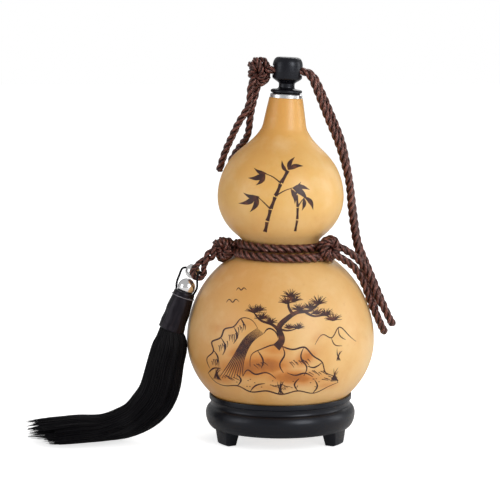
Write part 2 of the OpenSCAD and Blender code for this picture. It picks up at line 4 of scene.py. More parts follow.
import bpy
import numpy as np
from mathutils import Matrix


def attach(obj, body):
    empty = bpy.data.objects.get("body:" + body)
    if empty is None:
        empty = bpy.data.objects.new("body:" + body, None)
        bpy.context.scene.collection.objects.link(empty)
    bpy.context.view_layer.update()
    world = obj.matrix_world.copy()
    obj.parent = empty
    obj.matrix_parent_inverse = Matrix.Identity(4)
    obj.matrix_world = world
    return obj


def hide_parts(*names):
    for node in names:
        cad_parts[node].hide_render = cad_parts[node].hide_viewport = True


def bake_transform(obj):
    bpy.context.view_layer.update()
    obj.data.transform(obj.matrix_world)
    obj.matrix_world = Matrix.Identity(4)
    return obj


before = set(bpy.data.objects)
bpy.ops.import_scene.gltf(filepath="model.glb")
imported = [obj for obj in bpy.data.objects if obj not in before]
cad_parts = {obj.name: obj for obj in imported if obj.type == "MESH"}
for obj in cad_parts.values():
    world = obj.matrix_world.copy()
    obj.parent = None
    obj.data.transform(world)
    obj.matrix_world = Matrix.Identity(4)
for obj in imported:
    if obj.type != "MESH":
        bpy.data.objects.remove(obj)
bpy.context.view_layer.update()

MM = 0.001

# Sizes of the gourd, in millimetres
BELLY_Z = 57
WAIST_Z = 109
CROWN_Z = 137.3
LOWER_R = 52.6
BELLY_H = 45
SHOULDER_H = 54.5
WAIST_R = 20.3
UPPER_R = 35.2
UPPER_SAG = 29.5
BLEND_H = 7
MOUTH_R = 9.3
MOUTH_H = 55.3
NECK_LEAN = math.radians(3)
WALL = 3.5

# The cords
CORD_D = 4.2
KNOT_D = 0.86 * CORD_D
STRAND_PITCH = 13.5
LEFT_KNOT = (-31.8, -6.47, 109)
RIGHT_KNOT = (26.89, -16.93, 110.3)
KNOB_KNOT = (-12.1, 0, 207)
STRAP_INNER = [
    (29.2, -16.4, 107.9), (32.14, -15.59, 105.51), (38.57, -12.09, 100.98),
    (43.59, -9.75, 94.98), (47.23, -8.66, 87.52),
    (50.5, -8.48, 78.5), (54.49, -8.48, 69.52), (56.51, -6.51, 64.98), (58.02, -2.52, 62),
    (58.02, 2.52, 62), (56.51, 6.51, 64.98), (54.49, 8.48, 69.52), (52.02, 7.52, 78.51),
    (49.48, 6.51, 87.01), (46.5, 5.5, 97.49), (43.01, 5, 109.49), (40.99, 3.99, 120.99),
    (39.48, 2.98, 132.02), (38.51, 2.02, 143), (36, 1.01, 154.52), (32.5, 0.5, 166),
    (28, -0.5, 176.99), (24.02, -1.51, 186.49), (20.69, -2.18, 195), (18.53, -2.39, 200.3)]
STRAP_OUTER = [
    (29.4, -16.4, 112.2), (32.64, -15.59, 110.81), (40.08, -12.55, 105.98),
    (46.61, -9.75, 99.02), (50.21, -8.66, 92.01),
    (53.99, -8.48, 81.99), (58.98, -8.48, 73.51), (61, -6.51, 69.01), (62.51, -2.52, 66.49),
    (62.51, 2.52, 66.49), (61, 6.51, 69.01), (58.98, 8.48, 73.51), (56, 8.99, 80.5),
    (52.49, 10, 88.99), (48.51, 10.5, 98.5), (44.01, 9.49, 110), (42, 8.99, 120.99),
    (40.49, 7.98, 132.02), (39.02, 7.01, 143), (37.01, 6.01, 154.52), (34.52, 5, 166),
    (30.52, 3.49, 176.99), (26.5, 2.98, 186.49), (22.6, 2.52, 195.49), (20.03, 2.39, 200.9)]
KNOB_FRONT = [(17.2, -2.39, 203.23), (15.18, -2.39, 205.62), (12.49, -2.39, 207.01),
              (3.68, -2.39, 207.51), (-5.01, -2.39, 208.02), (-9, -2, 208)]
KNOB_BACK = [(18.29, 2.39, 203.82), (15.81, 2.39, 206), (12.49, 2.39, 207.01),
             (3.68, 2.39, 207.51), (-5.01, 2.39, 208.02), (-9, 2, 208)]
TAIL_FRONT = [(-14.2, -0.8, 204.2), (-16.49, -1.01, 199.01), (-17.5, 0, 189.5),
              (-22.5, 1.51, 179.99), (-27.01, 3.99, 171.01), (-30.98, 6.51, 161.99), (-34.51, 8.99, 150.5)]
TAIL_BACK = [(-12.4, 2.2, 203.4), (-13.3, 3.6, 197.5), (-15.5, 3.8, 189.01),
             (-17.2, 4.7, 179.99), (-18.6, 8.99, 171.01), (-23.99, 16, 162.52), (-28.5, 18.98, 154.52)]
HANGER_TOP = (-34.8, -6.9, 110.2)
HANGER_FORK = (-44, -7.98, 100.2)
HANGER_TIP = [(-48.6, -7.98, 97.6), (-49.16, -7.98, 96.2), (-48.95, -7.98, 94.71),
              (-47.89, -7.98, 93.3), (-46.27, -7.98, 92.61), (-44.6, -7.98, 92.83),
              (-43.3, -7.98, 94), (-42.6, -7.98, 95.9)]

# The tassel, whose head has its own frame at the lower bead
BEAD_AT = np.array([-52.49, -7.98, 87.58])
TASSEL_LEAN = math.radians(20)
UPPER_BEAD_AT = (0.39, 6.63, 8.58)
UPPER_BEAD_D = 8.4
LOWER_BEAD_D = 9.7
THREAD_D = 1.4
LOOP = [(-5.04, 0, -2.72), (-5.93, 0.78, 0.47), (-5.93, 3.82, 4.99), (-5.15, 6.63, 8.58),
        (5.93, 6.63, 8.58), (5.62, 4.45, 9.36), (3.7, 1.68, 10.18), (3.42, 0, 10.18),
        (3.42, -1.68, 10.18), (3.6, -3.6, 8.37), (4.23, -3.87, 6.03), (5.58, -2.16, 1.53),
        (5.04, 0, -2.72)]
CORE_HEAD = [(4.1, 0, -7), (2.4, 0, -12), (0.6, 0, -18)]
CORE = [(-61.21, -7.98, 63.62), (-64.46, -7.98, 47.02), (-70.45, -7.98, 26.47),
        (-81.98, -6.96, 12.98), (-98, -5.1, 6.5)]

# Sections of the skirt: middle x and z, half width, half thickness, middle y
SKIRT = [
    (-54.74, 81.4, 4.7, 4.7, -7.98), (-58.14, 72.08, 5.2, 5.2, -7.98),
    (-61.1, 63.62, 6.4, 6.4, -7.98), (-61.5, 57, 8.5, 9.1, -7.98),
    (-63.8, 47.02, 9.9, 10.1, -7.98), (-66.2, 36.01, 10.8, 10.8, -7.98),
    (-69.5, 26, 11.4, 11.1, -8.1), (-75, 18.8, 11.9, 10.8, -8.5),
    (-81.8, 13.4, 12.8, 9.4, -9.1), (-90.01, 10.2, 14.6, 8.4, -9.9),
    (-99.94, 8.2, 16.4, 7, -10.4), (-112.06, 7.7, 18.2, 7, -10.6),
    (-124.03, 7, 19.4, 6.5, -10.4), (-136, 6.2, 20.2, 5.7, -9.8), (-144.6, 5.2, 19.6, 4.6, -9)]

# The stand
RING_FOOT = 8.2
RING_TOP = 26.4
RING_HOLE_R = 25
SEAT_GAP = 0.35
SEAT_FOOT = 17.02
RIM_R = 40.08
RIM_H = 2.6
BEAD_R = 42.08
BEAD_MID = 15.66
FOOT_OUT = 38.88
FOOT_IN = 30.38


# ---- meshes ----

def new_object(name, points, faces, uvs=None):
    """A smooth mesh object from points in millimetres."""
    mesh = bpy.data.meshes.new(name)
    mesh.from_pydata((np.asarray(points, float) * MM).tolist(), [], faces)
    mesh.polygons.foreach_set("use_smooth", [True] * len(mesh.polygons))
    if uvs is not None:
        layer = mesh.uv_layers.new(name="UVMap")
        layer.data.foreach_set("uv", np.asarray(uvs, float).ravel())
    obj = bpy.data.objects.new(name, mesh)
    bpy.context.collection.objects.link(obj)
    return obj


def spline(points, count=40):
    """Points on a smooth curve through these, closely spaced."""
    p = np.asarray(points, float)
    t = np.concatenate([[0], np.cumsum(np.linalg.norm(np.diff(p, axis=0), axis=1))])
    n = len(p)
    h = np.diff(t)
    a = np.eye(n)
    b = np.zeros_like(p)
    for i in range(1, n - 1):
        a[i, i - 1:i + 2] = h[i - 1], 2 * (h[i - 1] + h[i]), h[i]
        b[i] = 6 * ((p[i + 1] - p[i]) / h[i] - (p[i] - p[i - 1]) / h[i - 1])
    m = np.linalg.solve(a, b)
    s = np.linspace(0, t[-1], count * n)
    j = np.clip(np.searchsorted(t, s, side="right") - 1, 0, n - 2)
    u = (s - t[j])[:, None]
    w = h[j][:, None] - u
    hh = h[j][:, None]
    return ((m[j] * w ** 3 + m[j + 1] * u ** 3) / (6 * hh)
            + (p[j] / hh - m[j] * hh / 6) * w + (p[j + 1] / hh - m[j + 1] * hh / 6) * u)


def even(path, step):
    """The same curve with its points an even step apart."""
    s = np.concatenate([[0], np.cumsum(np.linalg.norm(np.diff(path, axis=0), axis=1))])
    grid = np.linspace(0, s[-1], max(2, int(round(s[-1] / step)) + 1))
    return np.stack([np.interp(grid, s, path[:, k]) for k in range(path.shape[1])], 1)


def frames(path, first=(0.1, -0.9, 0.4)):
    """Direction along a path and two sides square to it, carried along without twisting."""
    way = np.gradient(path, axis=0)
    way /= np.linalg.norm(way, axis=1)[:, None]
    side = np.empty_like(path)
    v = np.asarray(first, float)
    for i, w in enumerate(way):
        v = v - (v @ w) * w
        v /= np.linalg.norm(v)
        side[i] = v
    return way, side, np.cross(way, side)


def skin(rings, along):
    """Faces and UVs of a closed tube through rings of as many points each."""
    n, m = rings.shape[:2]
    i, k = np.meshgrid(np.arange(n - 1), np.arange(m), indexing="ij")
    after = (k + 1) % m
    quads = np.stack([i * m + k, i * m + after, (i + 1) * m + after, (i + 1) * m + k], -1)
    u = np.stack([k / m, (k + 1) / m, (k + 1) / m, k / m], -1)
    v = np.stack([along[i], along[i], along[i + 1], along[i + 1]], -1)
    faces = quads.reshape(-1, 4).tolist()
    uvs = np.stack([u, v], -1).reshape(-1, 2).tolist()
    faces.append(list(range(m - 1, -1, -1)))
    faces.append(list(range((n - 1) * m, n * m)))
    uvs += [[0, along[0]]] * m + [[0, along[-1]]] * m
    return faces, uvs


def join_parts(name, parts):
    """One object from several (rings, along) tubes."""
    points = []
    faces = []
    uvs = []
    base = 0
    for rings, along in parts:
        f, uv = skin(rings, along)
        points.append(rings.reshape(-1, 3))
        faces += [[base + q for q in face] for face in f]
        uvs += uv
        base += rings.shape[0] * rings.shape[1]
    return new_object(name, np.concatenate(points), faces, uvs)


def twist(path, d, pitch=STRAND_PITCH, strands=3, sides=10, swell=0.56):
    """The strands of a twisted cord along a path, with rounded ends, as (rings, along) tubes."""
    way, side, up = frames(path)
    s = np.concatenate([[0], np.cumsum(np.linalg.norm(np.diff(path, axis=0), axis=1))])
    out_r = d / 2 * (1 - swell)
    strand_r = d / 2 * swell
    near_end = np.minimum(s, s[-1] - s)
    shrink = np.sqrt(np.clip(1 - (1 - near_end / (0.8 * strand_r)).clip(0) ** 2, 0.03, 1))
    turn = 2 * np.pi * np.arange(sides) / sides
    parts = []
    for j in range(strands):
        a = 2 * np.pi * (s / pitch + j / strands)
        out = np.cos(a)[:, None] * side + np.sin(a)[:, None] * up
        over = np.cross(way, out)
        middle = path + out_r * out
        r = (strand_r * shrink)[:, None, None]
        rings = middle[:, None] + r * (np.cos(turn)[None, :, None] * out[:, None]
                                       + np.sin(turn)[None, :, None] * over[:, None])
        parts.append((rings, s / (2 * np.pi * strand_r)))
    return parts


def rope(name, path, d, **shape):
    """One twisted cord."""
    return join_parts(name, twist(path, d, **shape))


def lathe(name, outline, steps=160, shape=None, place=None):
    """Turns outline points (r, z) round Z, counter-clockwise, with its ends on the axis or closed."""
    outline = np.asarray(outline, float)
    angles = 2 * np.pi * np.arange(steps) / steps
    along = np.concatenate([[0], np.cumsum(np.linalg.norm(np.diff(outline, axis=0), axis=1))])
    points = []
    rows = []
    for r, z in outline:
        rows.append((len(points), r > 1e-6))
        if r <= 1e-6:
            points.append((0, 0, z))
            continue
        for a in angles:
            rr = r if shape is None else shape(a, r, z)
            points.append((rr * math.cos(a), rr * math.sin(a), z))
    pairs = list(zip(range(len(rows) - 1), range(1, len(rows))))
    if rows[0][1] and rows[-1][1]:
        pairs.append((len(rows) - 1, 0))
    faces = []
    uvs = []
    for i, j in pairs:
        (a, ring_a), (b, ring_b) = rows[i], rows[j]
        for k in range(steps):
            n = (k + 1) % steps
            low = [a + k, a + n] if ring_a else [a]
            high = [b + n, b + k] if ring_b else [b]
            faces.append(low + high)
            u = (k / steps, (k + 1) / steps)
            uvs += [(u[0], along[i]), (u[1], along[i])] if ring_a else [(u[0], along[i])]
            uvs += [(u[1], along[j]), (u[0], along[j])] if ring_b else [(u[0], along[j])]
    points = np.array(points, float)
    if place is not None:
        points = place(points)
    return new_object(name, points, faces, uvs)


def rounded(corners, reach, parts=5):
    """An outline whose corners are short curves that reach so far along their sides."""
    pts = [np.array(p, float) for p in corners]
    out = [pts[0]]
    for i in range(1, len(pts) - 1):
        back = pts[i - 1] - pts[i]
        on = pts[i + 1] - pts[i]
        length = min(reach, 0.45 * np.linalg.norm(back), 0.45 * np.linalg.norm(on))
        a = pts[i] + back / np.linalg.norm(back) * length
        b = pts[i] + on / np.linalg.norm(on) * length
        for t in np.linspace(0, 1, parts):
            out.append(a * (1 - t) ** 2 + pts[i] * 2 * t * (1 - t) + b * t ** 2)
    out.append(pts[-1])
    return np.array(out)


def apply_modifiers(obj):
    """Bakes an object's modifiers into its mesh."""
    graph = bpy.context.evaluated_depsgraph_get()
    mesh = bpy.data.meshes.new_from_object(obj.evaluated_get(graph))
    obj.modifiers.clear()
    obj.data = mesh


def on_neck(points):
    """Points from the leaning neck's frame into the shared one."""
    c, s = math.cos(NECK_LEAN), math.sin(NECK_LEAN)
    x, y, z = points.T
    return np.stack([x * c + z * s, y, CROWN_Z - x * s + z * c], 1)


def on_tassel(points):
    """Points from the tassel head's frame into the shared one."""
    c, s = math.cos(TASSEL_LEAN), math.sin(TASSEL_LEAN)
    x, y, z = np.asarray(points, float).T
    return BEAD_AT + np.stack([x * c + z * s, y, -x * s + z * c], 1)


def finish_piece(obj, mat, body, slot, *nodes):
    """Gives a piece its material and body, and hides the nodes it stands for; its slot is not used."""
    obj.data.materials.append(mat)
    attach(obj, body)
    if nodes:
        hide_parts(*nodes)
    return obj


# ---- materials ----

def rgb(r, g, b):
    """Linear colour from 0 to 255 display values."""
    def one(v):
        v /= 255
        return v / 12.92 if v <= 0.04045 else ((v + 0.055) / 1.055) ** 2.4
    return one(r), one(g), one(b), 1.0


class Paint:
    """A material with a Principled shader and short ways to add and join nodes."""

    def __init__(self, name, color, roughness, **sockets):
        self.mat = bpy.data.materials.new(name)
        self.mat.use_nodes = True
        self.tree = self.mat.node_tree
        self.shader = self.tree.nodes["Principled BSDF"]
        self.set(self.shader, {"Base Color": color, "Roughness": roughness})
        self.set(self.shader, {key.replace("_", " "): v for key, v in sockets.items()})

    def set(self, node, values):
        for key, value in values.items():
            if isinstance(value, bpy.types.NodeSocket):
                self.tree.links.new(value, node.inputs[key])
            else:
                node.inputs[key].default_value = value

    def add(self, kind, values=None, **settings):
        node = self.tree.nodes.new("ShaderNode" + kind)
        for key, value in settings.items():
            setattr(node, key, value)
        self.set(node, values or {})
        return node

    def coords(self, which="Object", scale=(1, 1, 1)):
        place = self.add("TexCoord").outputs[which]
        return self.add("Mapping", {"Vector": place, "Scale": scale}).outputs[0]

    def noise(self, scale, detail=3, which="Object", stretch=(1, 1, 1), rough=0.5):
        values = {"Vector": self.coords(which, stretch), "Scale": scale, "Detail": detail,
                  "Roughness": rough}
        return self.add("TexNoise", values).outputs["Fac"]

    def ramp(self, value, stops):
        node = self.add("ValToRGB", {"Fac": value})
        ends = node.color_ramp.elements
        while len(ends) < len(stops):
            ends.new(0.5)
        for end, (place, color) in zip(ends, stops):
            end.position = place
            end.color = color
        return node.outputs["Color"]

    def level(self, value, low, high, to_low=0.0, to_high=1.0):
        values = {"Value": value, "From Min": low, "From Max": high, "To Min": to_low,
                  "To Max": to_high}
        return self.add("MapRange", values).outputs["Result"]

    def math(self, kind, a, b=0.0):
        node = self.add("Math", operation=kind)
        for i, value in enumerate((a, b)):
            self.set(node, {i: value})
        return node.outputs[0]

    def mix(self, share, a, b, kind="MIX"):
        node = self.add("Mix", data_type="RGBA", blend_type=kind)
        self.set(node, {0: share, 6: a, 7: b})
        return node.outputs[2]

    def bump(self, height, depth, strength=1.0, after=None):
        values = {"Height": height, "Distance": depth, "Strength": strength}
        if after is not None:
            values["Normal"] = after
        return self.add("Bump", values).outputs["Normal"]

    def use(self, **outputs):
        self.set(self.shader, {key.replace("_", " "): v for key, v in outputs.items()})
        return self.mat


def cord_material():
    """Dark brown satin cord, whose fine yarns run slantwise round each strand, with painted shade in the
    grooves between strands and painted pink highlights on the yarn ridges of their outer sides.
    """
    p = Paint("brown_satin_cord", rgb(62, 36, 32), 0.28, Specular_IOR_Level=0.8,
              Specular_Tint=(1.0, 0.66, 0.58, 1))
    uv = p.add("SeparateXYZ", {"Vector": p.add("TexCoord").outputs["UV"]})
    # Painted shade: each strand is darkened on its inner side, towards the grooves where strands meet, and
    # painted lighter on its outer crest.
    facing = p.math("COSINE", p.math("MULTIPLY", uv.outputs["X"], 2 * math.pi))
    painted_shade_mask = p.level(facing, 0.1, 0.9)
    turns = p.math("MULTIPLY", uv.outputs["X"], 6.0)
    slant = p.math("MULTIPLY", uv.outputs["Y"], -1.6)
    wave = p.math("SINE", p.math("MULTIPLY", p.math("ADD", turns, slant), 2 * math.pi))
    ridge = p.level(wave, -0.4, 1)
    tone = p.noise(500, 3)
    # Painted shade colour for the grooves, with faint yarn ridges.
    dark = p.mix(ridge, rgb(12, 2, 1), rgb(28, 7, 5))
    # Painted highlight: pale pink on the yarn ridges of the strands' outer crests, varying with a noise.
    pale = p.mix(p.level(tone, 0.35, 0.65), rgb(76, 32, 24), rgb(186, 118, 104))
    light = p.mix(ridge, rgb(36, 11, 8), pale)
    return p.use(Base_Color=p.mix(painted_shade_mask, dark, light), Normal=p.bump(ridge, 0.00018, 0.6))


def silk_material():
    """Black silk threads with a slight lustre."""
    p = Paint("black_silk", rgb(6, 5, 8), 0.42, Specular_IOR_Level=0.18)
    tone = p.noise(220, 3, stretch=(1, 1, 0.3))
    return p.use(Base_Color=p.mix(tone, rgb(2, 1, 4), rgb(11, 9, 14)),
                 Roughness=p.level(tone, 0.3, 0.7, 0.3, 0.5))


def satin_material():
    """Black satin of the tassel's cap."""
    p = Paint("black_satin", rgb(7, 6, 10), 0.3, Specular_IOR_Level=0.28,
              Specular_Tint=(0.95, 0.86, 1.0, 1))
    weave = p.noise(1500, 2, which="UV", stretch=(40, 0.02, 1))
    folds = p.noise(260, 2)
    normal = p.bump(weave, 0.0001, 0.5)
    return p.use(Base_Color=p.mix(folds, rgb(3, 2, 5), rgb(14, 11, 17)), Normal=normal)


def lacquer_material():
    """Satin black lacquer over turned wood."""
    p = Paint("black_lacquer", rgb(8, 8, 11), 0.36, Specular_IOR_Level=0.32, Coat_Weight=0.16,
              Coat_Roughness=0.25, Specular_Tint=(0.8, 0.86, 1.0, 1))
    turning = p.noise(60, 4, stretch=(0.4, 0.4, 22))
    pores = p.noise(900, 3)
    rough = p.level(pores, 0.3, 0.7, 0.3, 0.46)
    normal = p.bump(turning, 0.00035, 0.35)
    normal = p.bump(pores, 0.00005, 0.5, normal)
    return p.use(Base_Color=p.mix(turning, rgb(5, 4, 8), rgb(14, 13, 19)), Roughness=rough,
                 Normal=normal)


def gourd_material():
    """Waxed golden gourd skin with scorching, painted shade that darkens its left side, and a deeper
    orange at the waist, the neck and the underside, partly its own colour and partly painted shade.
    """
    p = Paint("waxed_gourd", rgb(226, 176, 104), 0.42, Specular_IOR_Level=0.42, Coat_Weight=0.22,
              Coat_Roughness=0.28, Subsurface_Weight=0.04, Subsurface_Scale=0.004)
    broad = p.noise(16, 3, rough=0.45)
    fine = p.noise(330, 3)
    streaks = p.noise(50, 4, stretch=(1, 1, 0.25))
    base = p.ramp(p.math("ADD", p.math("MULTIPLY", broad, 0.72), p.math("MULTIPLY", streaks, 0.28)),
                  [(0.34, rgb(225, 172, 100)), (0.5, rgb(233, 188, 122)), (0.66, rgb(239, 201, 142))])
    place = p.add("SeparateXYZ", {"Vector": p.add("TexCoord").outputs["Object"]})
    high = place.outputs["Z"]
    # Painted shade: the left side, turned away from the key lamp, is mixed towards a darker orange.
    left = p.level(place.outputs["X"], 0.012, -0.042)
    base = p.mix(p.math("MULTIPLY", left, 0.5), base, rgb(218, 148, 74))
    base = p.mix(p.level(high, 0.116, 0.136, 0, 0.5), base, rgb(236, 183, 88))
    # The waist and the neck are mixed towards a deep orange, partly as the skin's own colour and partly as
    # painted shade, which is much stronger on their left sides. The gourd is also mixed towards this
    # orange lower down, towards the underside.
    low_side = p.level(high, 0.118, 0.092)
    waist = p.math("MULTIPLY", low_side, p.level(high, 0.078, 0.1))
    waist = p.math("MULTIPLY", waist, p.level(place.outputs["X"], 0.012, -0.02, 0.15, 1.0))
    neck_left_shade = p.level(place.outputs["X"], 0.016, -0.009, 0.3, 1.5)
    neck = p.math("MULTIPLY", p.level(high, 0.138, 0.182), neck_left_shade)
    foot = p.level(high, 0.042, 0.014)
    warmth_and_shade = p.math("MAXIMUM", p.math("MAXIMUM", waist, neck), foot)
    warmth_and_shade = p.math("MULTIPLY", warmth_and_shade, p.level(broad, 0.3, 0.62, 0.35, 0.95))
    base = p.mix(p.math("MULTIPLY", warmth_and_shade, 0.66), base, rgb(212, 138, 46))
    base = p.mix(p.level(fine, 0.62, 0.8, 0, 0.16), base, rgb(176, 112, 52))
    patches = p.noise(38, 5, rough=0.6)
    base = p.mix(p.level(patches, 0.5, 0.75, 0, 0.5), base, rgb(246, 212, 158))
    base = p.mix(p.level(patches, 0.48, 0.3, 0, 0.45), base, rgb(218, 156, 78))
    burn = p.add("Attribute", attribute_name="scorch").outputs["Fac"]
    burn = p.math("MULTIPLY", burn, p.level(p.noise(120, 4), 0.25, 0.7, 0.7, 1.15))
    base = p.mix(p.level(burn, 0, 0.6), base, rgb(206, 128, 52))
    base = p.mix(p.level(burn, 0.5, 1.0), base, rgb(138, 74, 34))
    normal = p.bump(broad, 0.0012, 0.25)
    normal = p.bump(fine, 0.00005, 0.4, normal)
    rough = p.level(streaks, 0.35, 0.65, 0.36, 0.5)
    return p.use(Base_Color=base, Roughness=rough, Normal=normal)


def ink_material():
    """Dark brown burned line work."""
    p = Paint("burned_ink", rgb(58, 28, 22), 0.5, Specular_IOR_Level=0.4, Coat_Weight=0.15,
              Coat_Roughness=0.3)
    tone = p.noise(260, 4)
    return p.use(Base_Color=p.ramp(tone, [(0.35, rgb(48, 23, 22)), (0.55, rgb(64, 32, 26)),
                                          (0.72, rgb(104, 56, 32))]))


def metal_material(name, color, roughness, brush):
    """Bright metal with fine marks."""
    p = Paint(name, color, roughness, Metallic=1.0)
    marks = p.noise(300, 3, stretch=brush)
    return p.use(Roughness=p.level(marks, 0.3, 0.7, roughness * 0.7, roughness * 1.3),
                 Normal=p.bump(marks, 0.00003, 0.3))


def cork_material():
    """Natural cork with dark pores."""
    p = Paint("natural_cork", rgb(196, 150, 104), 0.8)
    grain = p.noise(500, 4)
    pores = p.add("TexVoronoi", {"Vector": p.coords(), "Scale": 700.0}).outputs["Distance"]
    color = p.ramp(grain, [(0.3, rgb(150, 104, 66)), (0.55, rgb(196, 150, 104)),
                           (0.75, rgb(216, 176, 132))])
    color = p.mix(p.level(pores, 0.18, 0.05), color, rgb(92, 58, 36))
    return p.use(Base_Color=color, Normal=p.bump(pores, 0.0002, 0.6))


def wax_material():
    """Thin coat of beeswax."""
    p = Paint("beeswax", rgb(214, 182, 118), 0.4, Subsurface_Weight=0.1, Subsurface_Scale=0.002)
    tone = p.noise(120, 3)
    return p.use(Base_Color=p.mix(tone, rgb(202, 164, 96), rgb(224, 196, 136)),
                 Normal=p.bump(tone, 0.0004, 0.4))


def thread_material():
    """Silver-grey trim thread."""
    p = Paint("trim_thread", rgb(120, 116, 122), 0.35, Metallic=0.5)
    tone = p.noise(2500, 2)
    return p.use(Base_Color=p.mix(tone, rgb(84, 80, 88), rgb(168, 164, 170)))


# ---- camera, light and floor ----

def make_camera():
    data = bpy.data.cameras.new("camera")
    data.sensor_width = 36
    data.lens = 154.3
    camera = bpy.data.objects.new("camera", data)
    camera.location = (-0.0171, -1.19041, 0.25874)
    camera.rotation_euler = (math.radians(90 - 7.25), 0, 0)
    bpy.context.collection.objects.link(camera)
    bpy.context.scene.camera = camera


def area_light(name, place, aim, size, energy, color=(1, 1, 1)):
    data = bpy.data.lights.new(name, "AREA")
    data.shape = "RECTANGLE"
    data.size, data.size_y = size
    data.energy = energy
    data.color = color
    light = bpy.data.objects.new(name, data)
    light.location = place
    way = np.array(aim, float) - np.array(place, float)
    flat = math.hypot(way[0], way[1])
    light.rotation_euler = (math.atan2(flat, -way[2]), 0, math.atan2(-way[0], way[1]))
    bpy.context.collection.objects.link(light)


def make_world():
    """White where the camera looks at it or through something clear, and a soft even light elsewhere,
    reflections included.
    """
    world = bpy.data.worlds.new("studio")
    world.use_nodes = True
    tree = world.node_tree
    back = tree.nodes["Background"]
    path = tree.nodes.new("ShaderNodeLightPath")
    seen = tree.nodes.new("ShaderNodeMath")
    seen.operation = "MAXIMUM"
    tree.links.new(path.outputs["Is Camera Ray"], seen.inputs[0])
    tree.links.new(path.outputs["Is Transmission Ray"], seen.inputs[1])
    shine = tree.nodes.new("ShaderNodeMath")
    shine.operation = "MULTIPLY_ADD"
    tree.links.new(path.outputs["Is Glossy Ray"], shine.inputs[0])
    shine.inputs[1].default_value = 0.0
    shine.inputs[2].default_value = 0.42
    strength = tree.nodes.new("ShaderNodeMath")
    strength.operation = "MAXIMUM"
    tree.links.new(seen.outputs[0], strength.inputs[0])
    tree.links.new(shine.outputs[0], strength.inputs[1])
    tree.links.new(strength.outputs[0], back.inputs["Strength"])
    back.inputs["Color"].default_value = (1, 1, 1, 1)
    bpy.context.scene.world = world


def make_floor():
    """A pale floor that shows as white to the camera, apart from the object's shadow."""
    floor = new_object("floor", [(-4000, -4000, -0.2), (4000, -4000, -0.2), (4000, 4000, -0.2),
                                 (-4000, 4000, -0.2)], [[0, 1, 2, 3]])
    mat = bpy.data.materials.new("pale_floor")
    mat.use_nodes = True
    tree = mat.node_tree
    shader = tree.nodes["Principled BSDF"]
    shader.inputs["Base Color"].default_value = (0.86, 0.86, 0.86, 1)
    shader.inputs["Roughness"].default_value = 0.9
    path = tree.nodes.new("ShaderNodeLightPath")
    shader.inputs["Emission Color"].default_value = (1, 1, 1, 1)
    glow = tree.nodes.new("ShaderNodeMath")
    glow.operation = "MULTIPLY"
    tree.links.new(path.outputs["Is Camera Ray"], glow.inputs[0])
    glow.inputs[1].default_value = 0.72
    tree.links.new(glow.outputs[0], shader.inputs["Emission Strength"])
    floor.data.materials.append(mat)


def make_lights():
    area_light("key", (0.68, -0.93, 0.55), (0.0, 0.0, 0.11), (0.5, 0.7), 7.5)
    area_light("side", (1.1, 0.1, 0.3), (0.0, 0.0, 0.09), (0.4, 0.7), 2.4)
    area_light("fill", (-1.15, -0.5, 0.4), (0.0, 0.0, 0.1), (0.6, 0.8), 2.8)
    area_light("back", (0.3, 1.0, 0.8), (0.0, 0.0, 0.1), (0.7, 0.5), 3.0)


# ---- the gourd ----

def oval_r(r, h, d):
    return r * math.sqrt(max(0.0, 1 - (d / h) ** 2))


def oval_slope(r, h, d):
    return -r * d / (h * h * math.sqrt(1 - (d / h) ** 2))


def ease(a, ka, b, kb, length, t):
    return (a * (2 * t ** 3 - 3 * t * t + 1) + ka * length * (t ** 3 - 2 * t * t + t)
            + b * (3 * t * t - 2 * t ** 3) + kb * length * (t ** 3 - t * t))


def gourd_r(z):
    """Radius of the gourd's outside at a height, up to the upper bulb's middle."""
    low_d = WAIST_Z - BLEND_H - BELLY_Z
    high_d = WAIST_Z + BLEND_H - CROWN_Z
    if z < BELLY_Z:
        return oval_r(LOWER_R, BELLY_H, BELLY_Z - z)
    if z < WAIST_Z - BLEND_H:
        return oval_r(LOWER_R, SHOULDER_H, z - BELLY_Z)
    if z < WAIST_Z:
        return ease(oval_r(LOWER_R, SHOULDER_H, low_d), oval_slope(LOWER_R, SHOULDER_H, low_d),
                    WAIST_R, 0, BLEND_H, (z - WAIST_Z) / BLEND_H + 1)
    if z < WAIST_Z + BLEND_H:
        return ease(WAIST_R, 0, oval_r(UPPER_R, UPPER_SAG, high_d),
                    oval_slope(UPPER_R, UPPER_SAG, high_d), BLEND_H, (z - WAIST_Z) / BLEND_H)
    if z < CROWN_Z:
        return oval_r(UPPER_R, UPPER_SAG, z - CROWN_Z)
    return oval_r(UPPER_R, UPPER_R, z - CROWN_Z)


def neck_r(w):
    """Radius of the neck at a height above the upper bulb's middle, along the neck."""
    low, mid, mid_r = 28, 41, MOUTH_R + 2.6
    low_r = math.sqrt((UPPER_R - 0.15) ** 2 - low ** 2)
    if w < mid:
        return ease(low_r, -low / low_r, mid_r, -0.17, mid - low, (w - low) / (mid - low))
    return ease(mid_r, -0.17, MOUTH_R, -0.2, MOUTH_H - mid, (w - mid) / (MOUTH_H - mid))


